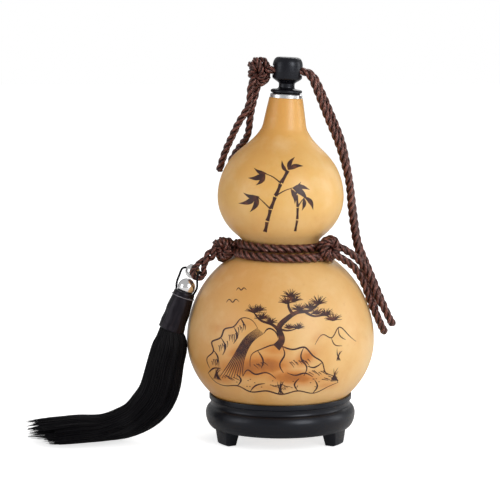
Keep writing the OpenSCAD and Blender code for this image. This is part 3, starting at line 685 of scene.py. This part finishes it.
def gourd_outline():
    """The outside from the underside up to the mouth, then the bore and the inside."""
    foot = BELLY_Z - BELLY_H
    outside = [(0.0, foot)]
    for a in np.linspace(-88.5, 0, 46):
        z = BELLY_Z + BELLY_H * math.sin(math.radians(a))
        outside.append((gourd_r(z), z))
    for z in np.linspace(BELLY_Z + 1, CROWN_Z, 84):
        outside.append((gourd_r(z), z))
    for a in np.linspace(1.8, 50, 34):
        outside.append((UPPER_R * math.cos(math.radians(a)),
                        CROWN_Z + UPPER_R * math.sin(math.radians(a))))
    for w in np.linspace(28.6, MOUTH_H, 36):
        outside.append((neck_r(w), CROWN_Z + w))
    outside = np.array(outside)
    near = np.flatnonzero((outside[:, 1] > CROWN_Z + 20) & (outside[:, 1] < CROWN_Z + 37))
    for _ in range(25):
        outside[near] = (outside[near - 1] + 2 * outside[near] + outside[near + 1]) / 4
    run = np.gradient(outside, axis=0)
    run /= np.linalg.norm(run, axis=1)[:, None]
    inside = outside - WALL * np.stack([run[:, 1], -run[:, 0]], 1)
    bore = 6.85
    keep = (inside[:, 0] > 0.5) & ((inside[:, 1] < CROWN_Z + 20) | (inside[:, 0] > bore))
    keep &= inside[:, 1] < CROWN_Z + MOUTH_H - 1
    inside = inside[keep][::-2]
    top = CROWN_Z + MOUTH_H
    mouth = [(bore, top), (bore, inside[0][1] + 0.01)]
    return np.concatenate([outside, mouth, inside, [(0.0, foot + WALL)]])


def lean_neck(points):
    """Turns what is above the upper bulb's middle about it, by up to the neck's lean."""
    up = points[:, 2] - CROWN_Z
    t = np.clip(up / 25, 0, 1)
    a = NECK_LEAN * t * t * (3 - 2 * t)
    x, y = points[:, 0], points[:, 1]
    return np.stack([x * np.cos(a) + up * np.sin(a), y,
                     CROWN_Z - x * np.sin(a) + up * np.cos(a)], 1)


def front_y(x, z):
    """How far to the front the gourd's skin is at x and z, and which way it faces there."""
    r = gourd_r(z)
    y = -math.sqrt(max(r * r - x * x, 1.0))
    slope = (gourd_r(z + 0.05) - gourd_r(z - 0.05)) / 0.1
    facing = np.array([x / r, y / r, -slope])
    return y, facing / np.linalg.norm(facing)


# Soft burned patches on the front: middle x and z, half length, half height, turn, strength
SCORCH = [
    (-14, 50, 25, 7.5, 6, 0.8), (6, 44, 20, 6, -4, 0.75), (-30, 42, 9, 4, 12, 0.5),
    (13, 55, 9, 5.5, 30, 0.6), (-4, 60, 10, 4.5, -8, 0.45), (24, 38, 8, 3, 0, 0.4),
    (-24, 57, 8, 4, 24, 0.5), (-33, 70, 8, 2.4, 14, 0.22), (-22, 73, 10, 2.4, 4, 0.2),
    (-4, 38, 18, 2.4, 0, 0.35), (19, 66, 5, 3, 40, 0.2)]


def scorch_at(x, y, z):
    if y > -5 or z > 100:
        return 0.0
    total = 0.0
    for cx, cz, a, b, turn, strength in SCORCH:
        c, s = math.cos(math.radians(turn)), math.sin(math.radians(turn))
        u = ((x - cx) * c + (z - cz) * s) / a
        v = (-(x - cx) * s + (z - cz) * c) / b
        total = max(total, strength * math.exp(-1.6 * (u * u + v * v) ** 1.3))
    return total


def make_gourd(mat):
    outline = gourd_outline()
    obj = lathe("gourd_body", outline, steps=288, place=lean_neck)
    layer = obj.data.attributes.new("scorch", "FLOAT", "POINT")
    places = np.empty(len(obj.data.vertices) * 3)
    obj.data.vertices.foreach_get("co", places)
    places = places.reshape(-1, 3) / MM
    layer.data.foreach_set("value", [scorch_at(*p) for p in places])
    finish_piece(obj, mat, "gourd", "waxed_gourd", "gourd_shell")


def ribbon(points, widths):
    """A flat brush line on the gourd's front from points (x, z), with its own widths."""
    path = even(spline([(x, z) for x, z in points], 24), 0.55)
    t = np.linspace(0, 1, len(path))
    width = np.interp(t, np.linspace(0, 1, len(widths)), widths)
    way = np.gradient(path, axis=0)
    way /= np.linalg.norm(way, axis=1)[:, None]
    side = np.stack([-way[:, 1], way[:, 0]], 1)
    across = 2 + int(max(widths) / 1.1)
    out = []
    for p, n, w in zip(path, side, width):
        for k in range(across):
            x, z = p + n * w * (k / (across - 1) - 0.5)
            y, facing = front_y(x, z)
            out.append(np.array([x, y, z]) + 0.04 * facing)
    faces = [[i * across + k, i * across + k + 1, (i + 1) * across + k + 1, (i + 1) * across + k]
             for i in range(len(path) - 1) for k in range(across - 1)]
    return out, faces


def leaf(root, length, angle, width, bend=0.12):
    """A pointed leaf stroke."""
    c, s = math.cos(math.radians(angle)), math.sin(math.radians(angle))
    x, z = root
    mid = (x + length * 0.5 * c - length * bend * s, z + length * 0.5 * s + length * bend * c)
    tip = (x + length * c, z + length * s)
    return [root, mid, tip], [0.25, 0.7 * width, width, 0.75 * width, 0.35 * width, 0.06]


def bamboo_strokes():
    """A bamboo sprig for the upper bulb."""
    strokes = []
    stem = [(-9, 120.5), (-7.8, 127), (-6, 134), (-3.4, 141), (-0.4, 148), (3.6, 155)]
    for a, b in zip(stem[:-1], stem[1:]):
        run = np.subtract(b, a)
        start = np.add(a, run * 0.05)
        end = np.add(a, run * 0.95)
        strokes.append(([tuple(start), tuple((start + end) / 2 + (0.15, 0)), tuple(end)],
                        [2.3, 1.7, 1.6, 2.1]))
    thin = [(7.5, 121), (8.6, 128), (8.8, 135), (8.2, 142)]
    for a, b in zip(thin[:-1], thin[1:]):
        run = np.subtract(b, a)
        strokes.append(([tuple(np.add(a, run * 0.04)), tuple(np.add(a, run * 0.5)),
                         tuple(np.add(a, run * 0.95))], [1.5, 1.1, 1.4]))
    twigs = [[(-6, 134), (-10, 138), (-13.5, 141)], [(-3.4, 141), (1.5, 144), (6, 145.5)],
             [(-0.4, 148), (-5, 151.5), (-9, 153)], [(8.8, 135), (11, 138.5), (13, 140.5)]]
    strokes += [(twig, [0.8, 0.55, 0.4]) for twig in twigs]
    leaves = [((-13.5, 141), 11, 205, 3.2), ((-13, 141), 10, 245, 3.0), ((-12, 140.5), 9, 168, 2.6),
              ((6, 145.5), 11, 318, 3.3), ((6, 145.5), 9.5, 352, 2.8), ((5, 145), 8.5, 285, 2.7),
              ((-9, 153), 9.5, 196, 3.0), ((-9, 153), 8, 232, 2.6), ((-8, 153), 7.5, 158, 2.3),
              ((3.6, 155), 7.5, 60, 2.5), ((3.6, 155), 8.5, 12, 2.6), ((3, 154), 6.5, 115, 2.1),
              ((13, 140.5), 8.5, 300, 2.6), ((8.2, 142), 7, 70, 2.1), ((12, 140), 7, 262, 2.2)]
    strokes += [leaf(*row) for row in leaves]
    return strokes


def rock_strokes():
    """Terraced rocks with cracks and hatching for the lower bulb."""
    thin = [0.25, 0.7, 0.95, 0.7, 0.3]
    lines = [
        [(-40, 43), (-36, 47), (-33, 47)], [(-17, 50), (-16, 57), (-11, 60), (-3, 62.5),
         (7, 60), (12, 61), (17, 56), (22, 52), (24, 46), (29, 43), (31, 39)],
        [(-40, 43), (-37, 39), (-30, 37), (-24, 38), (-17, 35), (-8, 36), (0, 34), (9, 36),
         (17, 34), (25, 37), (31, 39)],
        [(-21, 44), (-18, 48), (-15, 46), (-9, 47), (-3, 43.5)],
        [(-13, 59), (-10, 53), (-11, 49.5)], [(0, 62), (1.5, 57), (-1, 52), (1, 47)],
        [(12, 61), (10.5, 55), (13.5, 50), (12, 45)], [(22, 52), (17, 49.5), (14, 50.5)],
        [(-24, 38), (-22, 42), (-24.5, 45)], [(9, 36), (7, 40), (9.5, 43.5)],
        [(17, 34), (19.5, 38.5), (18, 42)], [(3, 47), (8, 45.5), (12, 46.5), (17, 44)],
        [(-17, 35), (-14, 39), (-9, 40.5)]]
    strokes = [(line, thin) for line in lines]
    dice = random.Random(7)
    for x, z, count, turn in ((-15, 52, 5, -35), (4, 54, 9, -50), (-6, 39.5, 8, -20),
                              (15, 47, 7, -40), (-31, 43, 6, -25), (22, 43, 6, -30)):
        for k in range(count):
            cx = x + k * 1.25 + dice.uniform(-0.3, 0.3)
            cz = z + dice.uniform(-1.0, 1.0)
            length = dice.uniform(2.2, 4.6)
            a = math.radians(turn + dice.uniform(-9, 9))
            tip = (cx + length * math.cos(a), cz + length * math.sin(a))
            mid = ((cx + tip[0]) / 2, (cz + tip[1]) / 2 + 0.2)
            strokes.append(([(cx, cz), mid, tip], [0.5, 0.35, 0.12]))
    return strokes


def pine_strokes():
    """A leaning pine with fans of needles."""
    strokes = [([(-3, 61), (0, 66), (-1.5, 71), (2.5, 76), (9, 79.5), (15, 80), (20, 83)],
                [4.6, 3.4, 3.0, 2.6, 2.0, 1.5, 0.8]),
               ([(-0.6, 69), (-6, 73.5), (-11, 75), (-15, 79)], [2.0, 1.5, 1.2, 0.6]),
               ([(6, 78.5), (3.6, 83.5), (5, 87)], [1.7, 1.3, 0.6]),
               ([(12, 80), (18, 77), (24, 77), (28, 74)], [1.5, 1.1, 0.9, 0.5]),
               ([(-1.5, 71), (3.5, 70), (8, 71)], [1.3, 0.9, 0.4])]
    dice = random.Random(11)
    fans = [(-15, 79, 5.4), (-10.5, 76, 4.8), (-6, 74, 4.4), (5, 87, 5.6), (2.6, 84, 5.2),
            (20, 83, 5.6), (15.5, 81, 4.8), (24, 77, 5.0), (28, 74, 5.2), (9, 71, 4.2),
            (9.5, 80.4, 4.6), (-12, 80, 4.4), (19, 78, 4.2), (7, 85, 4.6), (4, 71, 3.6)]
    for x, z, size in fans:
        for k in range(14):
            a = math.radians(4 + 172 * k / 13 + dice.uniform(-6, 6))
            length = size * dice.uniform(0.8, 1.08)
            tip = (x + length * math.cos(a), z + length * 0.8 * math.sin(a))
            mid = ((x + tip[0]) / 2, (z + tip[1]) / 2 + 0.25)
            strokes.append(([(x, z), mid, tip], [0.8, 0.5, 0.16]))
    return strokes


def cascade_strokes():
    """A stream that falls between tall rocks on the left."""
    strokes = []
    for k in range(9):
        u = k / 8
        line = [(-13 + 3.4 * u, 71 - 2.6 * u), (-19 + 4.4 * u, 66.5 - 1.6 * u),
                (-25 + 6 * u, 57 + 0.8 * u), (-29.5 + 8.5 * u, 49), (-34 + 13 * u, 41.5 + 2.6 * u * u)]
        strokes.append((line, [0.2, 0.5, 0.62, 0.5, 0.25]))
    tall = [[(-39, 46), (-40.5, 52), (-37, 57), (-38, 61), (-33, 64.5), (-31, 69), (-26, 71),
             (-22, 75.5), (-16, 75), (-13, 71)],
            [(-33, 64.5), (-30.5, 60), (-32, 55)], [(-26, 71), (-24, 66.5), (-26, 62)],
            [(-37, 57), (-34.5, 53), (-35.5, 49)], [(-22, 75.5), (-19.5, 71.5)],
            [(-9.6, 68.4), (-7, 71), (-3.5, 69.5), (-2, 66)]]
    strokes += [(line, [0.25, 0.75, 0.85, 0.6, 0.25]) for line in tall]
    dice = random.Random(3)
    for x, z, count in ((-34, 60.5, 6), (-28.5, 66, 6), (-38, 51, 5), (-23.5, 71, 5)):
        for k in range(count):
            cx = x + 0.9 * k
            top = z + dice.uniform(-0.8, 0.8) + 0.35 * k
            length = dice.uniform(2.4, 4.4)
            strokes.append(([(cx, top), (cx + 0.35, top - length / 2), (cx + 0.2, top - length)],
                            [0.55, 0.4, 0.12]))
    for _ in range(26):
        x = dice.uniform(-37, 26)
        z = 37 + 5 * dice.random() + 0.05 * abs(x)
        strokes.append(([(x, z), (x + 0.35, z + 0.1), (x + 0.7, z)], [0.4, 0.7, 0.4]))
    return strokes


def far_strokes():
    """Distant hills, birds and grasses."""
    thin = [0.2, 0.5, 0.6, 0.5, 0.2]
    lines = [[(18, 62), (23, 67), (27, 65), (31, 70), (36, 66), (41, 61)],
             [(27, 65), (29, 61), (33, 60)], [(31, 70), (31.5, 66), (35, 63)],
             [(-30, 83), (-28, 84.6), (-26.6, 83.4), (-25, 85), (-23, 84)],
             [(-24.5, 89.5), (-23, 90.8), (-22, 89.8), (-20.6, 91), (-19, 90.2)]]
    strokes = [(line, thin) for line in lines]
    dice = random.Random(5)
    for x, z, count in ((-37, 40, 7), (27, 40, 7), (-2, 34, 6), (30, 52, 4)):
        for k in range(count):
            angle = 55 + 70 * k / count + dice.uniform(-6, 6)
            strokes.append(leaf((x + 0.7 * k, z), dice.uniform(5, 9), angle, 0.75, 0.1))
    return strokes


def make_ink(mat):
    for name, strokes in (("ink_bamboo", bamboo_strokes()), ("ink_rocks", rock_strokes()),
                          ("ink_pine", pine_strokes()), ("ink_cascade", cascade_strokes()),
                          ("ink_hills", far_strokes())):
        points = []
        faces = []
        for line, widths in strokes:
            more, quads = ribbon(line, widths)
            faces += [[len(points) + q for q in quad] for quad in quads]
            points += more
        finish_piece(new_object(name, points, faces), mat, "gourd", "waxed_gourd")


# ---- cords ----

def waist_path():
    """The winding's middle line, with the same helix as the solid's."""
    off = CORD_D / 2 + 0.35
    start = math.radians(195)
    path = []
    for s in np.linspace(0, 1.95, 400):
        z = WAIST_Z + 2.8 - 4.6 * s
        r = max(gourd_r(z + off * q) + off * math.sqrt(1 - q * q)
                for q in np.arange(-0.96, 0.97, 0.06))
        a = start + 2 * math.pi * s
        path.append((r * math.cos(a), r * math.sin(a), z))
    path = np.array(path)
    first = path[0] + CORD_D * unit(path[0] - path[4])
    last = path[-1] + CORD_D * unit(path[-1] - path[-5])
    return even(np.concatenate([[first], path, [last]]), 0.65)


def unit(v):
    return v / np.linalg.norm(v)


def knot(name, middle, high, turn, tip):
    """A tight overhand knot of two cords that lie side by side, turned and tipped."""
    a = 2 * np.pi * np.linspace(0.6, 46.4, 260) / 47
    r = 0.93 + 0.56 * np.cos(3 * a)
    line = np.stack([r * np.cos(2 * a), 0.66 * np.sin(3 * a), r * np.sin(2 * a)], 1)
    line += 0.1 * np.stack([np.sin(5 * a), np.sin(4 * a + 1), np.cos(5 * a + 2)], 1)
    out = np.stack([np.cos(3 * a) * np.cos(2 * a), np.sin(3 * a), np.cos(3 * a) * np.sin(2 * a)], 1)
    beside = np.cross(np.gradient(line, axis=0), out)
    beside /= np.linalg.norm(beside, axis=1)[:, None]
    c, s = math.cos(math.radians(turn)), math.sin(math.radians(turn))
    e, f = math.cos(math.radians(tip)), math.sin(math.radians(tip))
    spin = np.array([[c, -s, 0], [s, c, 0], [0, 0, 1]]) @ np.array([[1, 0, 0], [0, e, -f], [0, f, e]])
    parts = []
    for side in (-1, 1):
        path = (line + side * 0.4 * beside) @ spin.T * (1, 1, high)
        path = even(np.array(middle) + KNOT_D * path, 0.55)
        parts += twist(path, 0.95 * KNOT_D, pitch=10.5)
    return join_parts(name, parts)


def make_straps(mat):
    for name, low, high, length in (("strap_inner", STRAP_INNER, KNOB_FRONT, 0.241),
                                    ("strap_outer", STRAP_OUTER, KNOB_BACK, 0.242)):
        path = even(spline(low + high), 0.65)
        obj = rope(name, path, 1.06 * CORD_D)
        obj.data.materials.append(mat)
        side = "front" if high is KNOB_FRONT else "back"
        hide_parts(name.replace("strap_", "strap_cord_"), "knob_cord_" + side)
        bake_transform(obj)


def make_tails(mat):
    for name, points, length in (("tail_front", TAIL_FRONT, 0.057), ("tail_back", TAIL_BACK, 0.055)):
        path = even(spline(points), 0.65)
        obj = rope(name, path, CORD_D)
        finish_piece(obj, mat, "stopper", "brown_cord", "cord_" + name)


def hanger_path():
    """A loop whose two sides are twisted round each other down to the fork above its tip."""
    top = np.array(HANGER_TOP)
    run = np.array(HANGER_FORK) - top
    across = unit(np.cross(run, (0, 1, 0)))
    sides = []
    for sign in (-1, 1):
        line = []
        for t in np.linspace(0, 1, 9):
            a = 2 * math.pi * 1.0 * (t - 1)
            out = math.cos(a) * across + math.sin(a) * np.array([0, 1, 0])
            line.append(top + t * run + sign * 1.5 * out)
        sides.append(line)
    if sides[0][-1][0] > sides[1][-1][0]:
        sides.reverse()
    return even(spline(sides[0] + [np.array(p) for p in HANGER_TIP] + sides[1][::-1]), 0.6)


def make_cords(mat):
    make_straps(mat)
    make_tails(mat)
    finish_piece(rope("waist_cord", waist_path(), 1.22 * CORD_D), mat, "gourd", "brown_cord",
                 "waist_rope")
    hanger = rope("hanger_cord", hanger_path(), 0.84 * CORD_D, pitch=10)
    finish_piece(hanger, mat, "gourd", "brown_cord", "tassel_hanger")
    for name, middle, shape, body, node in (
            ("knot_left", LEFT_KNOT, (1.0, -24, 10), "gourd", "waist_knot_left"),
            ("knot_right", RIGHT_KNOT, (1.08, 28, -8), "gourd", "waist_knot_right"),
            ("knot_knob", KNOB_KNOT, (1.35, -30, 24), "stopper", "knob_knot")):
        finish_piece(knot(name, middle, *shape), mat, body, "brown_cord", node)


# ---- tassel ----

def bead(name, middle, d, hole, mat, node, flat):
    """A bright bead with a small rimmed hole through it, upright or along X."""
    r = d / 2
    first = math.asin(hole / r)
    outline = [(hole, 0.6 * r), (hole, r * math.cos(first) - 0.25)]
    outline += [(r * math.sin(a), r * math.cos(a))
                for a in np.linspace(first + 0.05, math.pi - first - 0.05, 64)]
    outline += [(hole, 0.25 - r * math.cos(first)), (hole, -0.6 * r)]

    def place(points):
        turned = points[:, [2, 0, 1]] if flat else points
        return on_tassel(turned + np.array(middle))
    obj = lathe(name, outline[::-1], steps=96, place=place)
    return finish_piece(obj, mat, "tassel", "bright_metal", node)


def cap_shape(a, r, z):
    """Soft pleats that grow towards the cap's mouth."""
    if r < 5.2:
        return r
    grow = np.clip((-4.5 - z) / 16, 0, 1)
    folds = 0.14 * math.cos(6 * a + 0.08 * z + 1) + 0.11 * math.cos(11 * a - 0.06 * z)
    creases = 0.17 * math.sin(0.7 * z + 3 * a) + 0.07 * math.cos(19 * a + 1.3)
    return r + grow * (folds + creases - 0.1)


def make_cap(mat):
    corners = [(0, -4.85), (1.4, -4.62), (2.7, -4.0), (3.7, -3.06), (4.3, -2.72), (5.9, -3.0),
               (6.02, -5.1), (6.05, -6.1), (6.5, -9.5), (6.85, -14), (6.8, -17.4), (7.05, -22),
               (7.35, -25.5), (6.35, -25.5), (5.8, -17.4), (5, -6.6), (0, -6.4)]
    obj = lathe("tassel_hood", rounded(corners, 1.2, 6)[::1], steps=144, shape=cap_shape,
                place=on_tassel)
    return finish_piece(obj, mat, "tassel", "black_satin", "tassel_cap")


def make_trim(mat):
    a = np.linspace(0.5 * np.pi, 2.5 * np.pi - 0.02, 240)
    ring = on_tassel(np.stack([6.22 * np.cos(a), 6.22 * np.sin(a), -5.6 + 0 * a], 1))
    obj = rope("trim_ring", ring, 0.66, pitch=1.6, strands=2, sides=8)
    return finish_piece(obj, mat, "tassel", "trim_thread", "cap_trim")


def skirt_guide(count):
    """Middles, half sizes and two sides of the skirt's sections, closely spaced."""
    rows = np.array(SKIRT, float)
    fine = even(spline(rows[:, [0, 4, 1, 2, 3]], 30), 1.0)
    pick = np.linspace(0, len(fine) - 1, count).astype(int)
    middles = fine[:, :3]
    way = np.gradient(middles, axis=0)
    way /= np.linalg.norm(way, axis=1)[:, None]
    over = np.array([0, 1, 0]) - way[:, 1:2] * way
    over /= np.linalg.norm(over, axis=1)[:, None]
    up = np.cross(way, over)
    return middles[pick], fine[pick, 3], fine[pick, 4], over[pick], up[pick]


def make_threads(count, middles, wide, thick, over, up):
    """Loose silk threads in tufts that part and lift towards their ragged ends."""
    dice = random.Random(21)
    t = np.linspace(0, 1, count)
    spots = [(math.sqrt(dice.random()), dice.uniform(0, 2 * math.pi)) for _ in range(120)]
    tufts = np.array([(r * math.cos(a), r * math.sin(a)) for r, a in spots])
    ends = [1 - 0.06 * dice.random() - 0.11 * max(0, -u) ** 1.5 - 0.13 * (v > 0.68)
            for u, v in tufts]
    lifts = [dice.uniform(-0.6, 1.2) + 3.4 * (v > 0.68) for _, v in tufts]
    parts = []
    for k in range(1500):
        a = dice.uniform(0, 2 * math.pi)
        r = 0.9 + 0.1 * dice.random() if k % 4 else math.sqrt(dice.random()) * 0.9
        spot = np.array([r * math.cos(a), r * math.sin(a)])
        tuft = int(np.argmin(np.linalg.norm(tufts - spot, axis=1)))
        drawn = 0.45 * t ** 6
        waves = [dice.uniform(0, 6.28), dice.uniform(0, 6.28)]
        wander = dice.uniform(0.01, 0.07)
        u = spot[0] + drawn * (tufts[tuft][0] - spot[0]) + wander * t * np.sin(5 * t + waves[0])
        v = spot[1] + drawn * (tufts[tuft][1] - spot[1]) + wander * t * np.sin(6 * t + waves[1])
        if k % 24 == 0:
            first = dice.uniform(0.12, 0.5)
            loose = 1 + dice.uniform(0.08, 0.22) * np.sin(np.pi * np.clip((t - first) / 0.3, 0, 1))
            u, v = u * loose, v * loose
        path = middles + over * (wide * u)[:, None] + up * (thick * v)[:, None]
        path[:, 2] += lifts[tuft] * t ** 5 - 3.6 * np.abs(u) ** 3 * np.clip(2 * t - 1, 0, 1)
        keep = min(count, max(8, int(round(count * (ends[tuft] - 0.06 * dice.random())))))
        path = path[:keep]
        thread = dice.uniform(0.15, 0.23)
        path[:, 2] = np.maximum(path[:, 2], thread + 0.1)
        turn = 2 * np.pi * np.arange(3) / 3 + dice.uniform(0, 2)
        size = np.full(keep, thread)
        size[-3:] *= (0.9, 0.7, 0.3)
        rings = path[:, None] + size[:, None, None] * (
            np.cos(turn)[None, :, None] * over[:keep, None]
            + np.sin(turn)[None, :, None] * up[:keep, None])
        parts.append((rings, t[:keep] * 30))
    return parts


def make_skirt(mat):
    """The threads over a dark core that stops short of their ends."""
    count = 60
    middles, wide, thick, over, up = skirt_guide(count)
    threads = make_threads(count, middles, wide, thick, over, up)
    pieces = []
    for k, part in enumerate(("first", "second", "third")):
        obj = join_parts("silk_threads_" + part, threads[k::3])
        nodes = ["tassel_skirt"] if k == 0 else []
        pieces.append(finish_piece(obj, mat, "tassel", "black_silk", *nodes))
    t = np.linspace(0, 1, count)
    turn = 2 * np.pi * np.arange(36) / 36
    fold = 1 + 0.03 * np.cos(7 * turn)
    size = 0.88 * np.interp(t, [0, 0.6, 0.86], [1, 0.95, 0.4])
    rings = middles[:, None] \
        + (size * wide)[:, None, None] * (fold * np.cos(turn))[None, :, None] * over[:, None] \
        + (size * thick)[:, None, None] * (fold * np.sin(turn))[None, :, None] * up[:, None]
    last = int(count * 0.85)
    core = join_parts("silk_core", [(rings[:last], t[:last] * 30)])
    return pieces + [finish_piece(core, mat, "tassel", "black_silk")]


def make_tassel(silk, satin, chrome, thread):
    route = np.concatenate([on_tassel(LOOP + CORE_HEAD), CORE])
    path = even(spline(route), 0.35)
    loop = rope("tassel_thread", path, THREAD_D, pitch=3.6, sides=8)
    upper = bead("bead_upper", UPPER_BEAD_AT, UPPER_BEAD_D, 0.85, chrome, "upper_bead", True)
    lower = bead("bead_lower", (0, 0, 0), LOWER_BEAD_D, 0.6, chrome, "lower_bead", False)
    cap = make_cap(satin)
    trim = make_trim(thread)
    skirt = make_skirt(silk)
    finish_piece(loop, silk, "tassel", "black_silk", "tassel_loop")


# ---- stand and stopper ----

def stand_outline():
    seat = [(oval_r(LOWER_R + SEAT_GAP, BELLY_H + SEAT_GAP, BELLY_Z - z), z)
            for z in np.linspace(SEAT_FOOT, RING_TOP, 20)][::-1]
    hollow = [(RIM_R - 0.9 * math.sin(a), RING_TOP - RIM_H - 2.6 * (1 - math.cos(a)))
              for a in np.radians(np.linspace(12, 90, 8))][::-1]
    swell = []
    for a in np.radians(np.linspace(-64, 62, 40)):
        high = 5.2 if a > 0 else 1.12 * (BEAD_MID - RING_FOOT)
        swell.append((BEAD_R - 5 * (1 - math.cos(a)), BEAD_MID + high * math.sin(a)))
    rim = rounded([hollow[-1], (RIM_R, RING_TOP - RIM_H), (RIM_R, RING_TOP), seat[0]], 0.45, 6)[1:-1]
    base = rounded([(RING_HOLE_R, RING_FOOT + 3), (RING_HOLE_R, RING_FOOT),
                    (BEAD_R - 4.1, RING_FOOT), swell[0]], 0.5, 5)[1:-1]
    return np.concatenate([base, swell, hollow, rim, seat])


def make_foot(name, turn, mat, node):
    """A short tapered foot with softened edges."""
    levels = [0, 0.3, 0.7, 1.2, 3, 5.5, RING_FOOT]
    fronts = [FOOT_OUT - 2.3, FOOT_OUT - 1.5, FOOT_OUT - 1.0, FOOT_OUT - 0.75, FOOT_OUT - 0.55,
              FOOT_OUT - 0.25, FOOT_OUT]
    rings = []
    for z, front in zip(levels, fronts):
        half = 6.3 - 1.4 * (1 - z / RING_FOOT)
        back = FOOT_IN + 1.4 * (1 - z / RING_FOOT)
        xs = np.linspace(-half, half, 13)
        ring = [(x, -math.sqrt(front ** 2 - x * x), z) for x in xs]
        ring += [(x, -math.sqrt(back ** 2 - x * x), z) for x in xs[::-1]]
        rings.append(ring)
    rings = np.array(rings)
    c, s = math.cos(math.radians(turn)), math.sin(math.radians(turn))
    x, y, z = np.moveaxis(rings, 2, 0)
    rings = np.stack([x * c - y * s, x * s + y * c, z], 2)
    obj = join_parts(name, [(rings, np.array(levels, float))])
    soft = obj.modifiers.new("soft", "BEVEL")
    soft.width = 0.4 * MM
    soft.segments = 3
    soft.limit_method = "ANGLE"
    soft.angle_limit = math.radians(50)
    apply_modifiers(obj)
    return finish_piece(obj, mat, "stand", "black_lacquer", node)


def make_stand(mat):
    ring = lathe("stand_base", stand_outline(), steps=224)
    finish_piece(ring, mat, "stand", "black_lacquer", "stand_ring")
    for side, turn in (("left", -60), ("right", 60), ("back", 180)):
        make_foot("foot_" + side, turn, mat, "stand_foot_" + side)


def make_knob(mat):
    foot = 57.6
    corners = [(0, foot - 10), (2.5, foot - 10), (2.5, foot), (7.5, foot), (8.8, foot + 0.8),
               (8.8, foot + 1.7), (8.1, foot + 2.3), (5.4, foot + 2.45), (4.4, foot + 3.4),
               (4.4, foot + 5.8), (7.75, foot + 8.0), (8.25, foot + 8.7)]
    dome = [(5.43 + 2.92 * math.cos(a), foot + 15.3 + 4.8 * math.sin(a))
            for a in np.linspace(0, math.pi / 2, 22)]
    outline = np.concatenate([rounded(corners, 0.7, 6), dome, [(0, foot + 20.1)]])
    obj = lathe("knob", outline, steps=144, place=on_neck)
    side = 2.35
    turns = np.linspace(-math.pi / 2, math.pi / 2, 17)
    arc = [(2.4 * math.cos(a) + side, 2.4 * math.sin(a)) for a in turns]
    arc += [(-y, -z) for y, z in arc]
    rings = np.array([[(x, y, 70.31 + z) for y, z in arc] for x in (-12, 12)])
    cutter = join_parts("cutter", [(on_neck(rings.reshape(-1, 3)).reshape(rings.shape),
                                    np.array([0.0, 1.0]))])
    cut = obj.modifiers.new("slot", "BOOLEAN")
    cut.operation = "DIFFERENCE"
    cut.object = cutter
    apply_modifiers(obj)
    bpy.data.objects.remove(cutter)
    obj.data.set_sharp_from_angle(angle=math.radians(42))
    finish_piece(obj, mat, "stopper", "black_lacquer", "stopper_knob")


def dress_nodes(materials):
    """Better materials on the solids that show as they are."""
    for name, mat in materials.items():
        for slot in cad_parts[name].material_slots:
            slot.material = mat


make_camera()
brown = cord_material()
make_cords(brown)
make_tassel(silk_material(), satin_material(),
            metal_material("chrome", (0.97, 0.96, 0.96, 1), 0.16, (1, 1, 1)), thread_material())
make_gourd(gourd_material())
make_ink(ink_material())
black = lacquer_material()
make_stand(black)
make_knob(black)
dress_nodes({"mouth_ferrule": metal_material("satin_silver", (0.88, 0.88, 0.89, 1), 0.28,
                                             (1, 1, 12)),
             "cork_plug": cork_material(), "wax_lining": wax_material()})
make_world()
make_lights()
make_floor()

bpy.context.scene.view_settings.view_transform = "Standard"
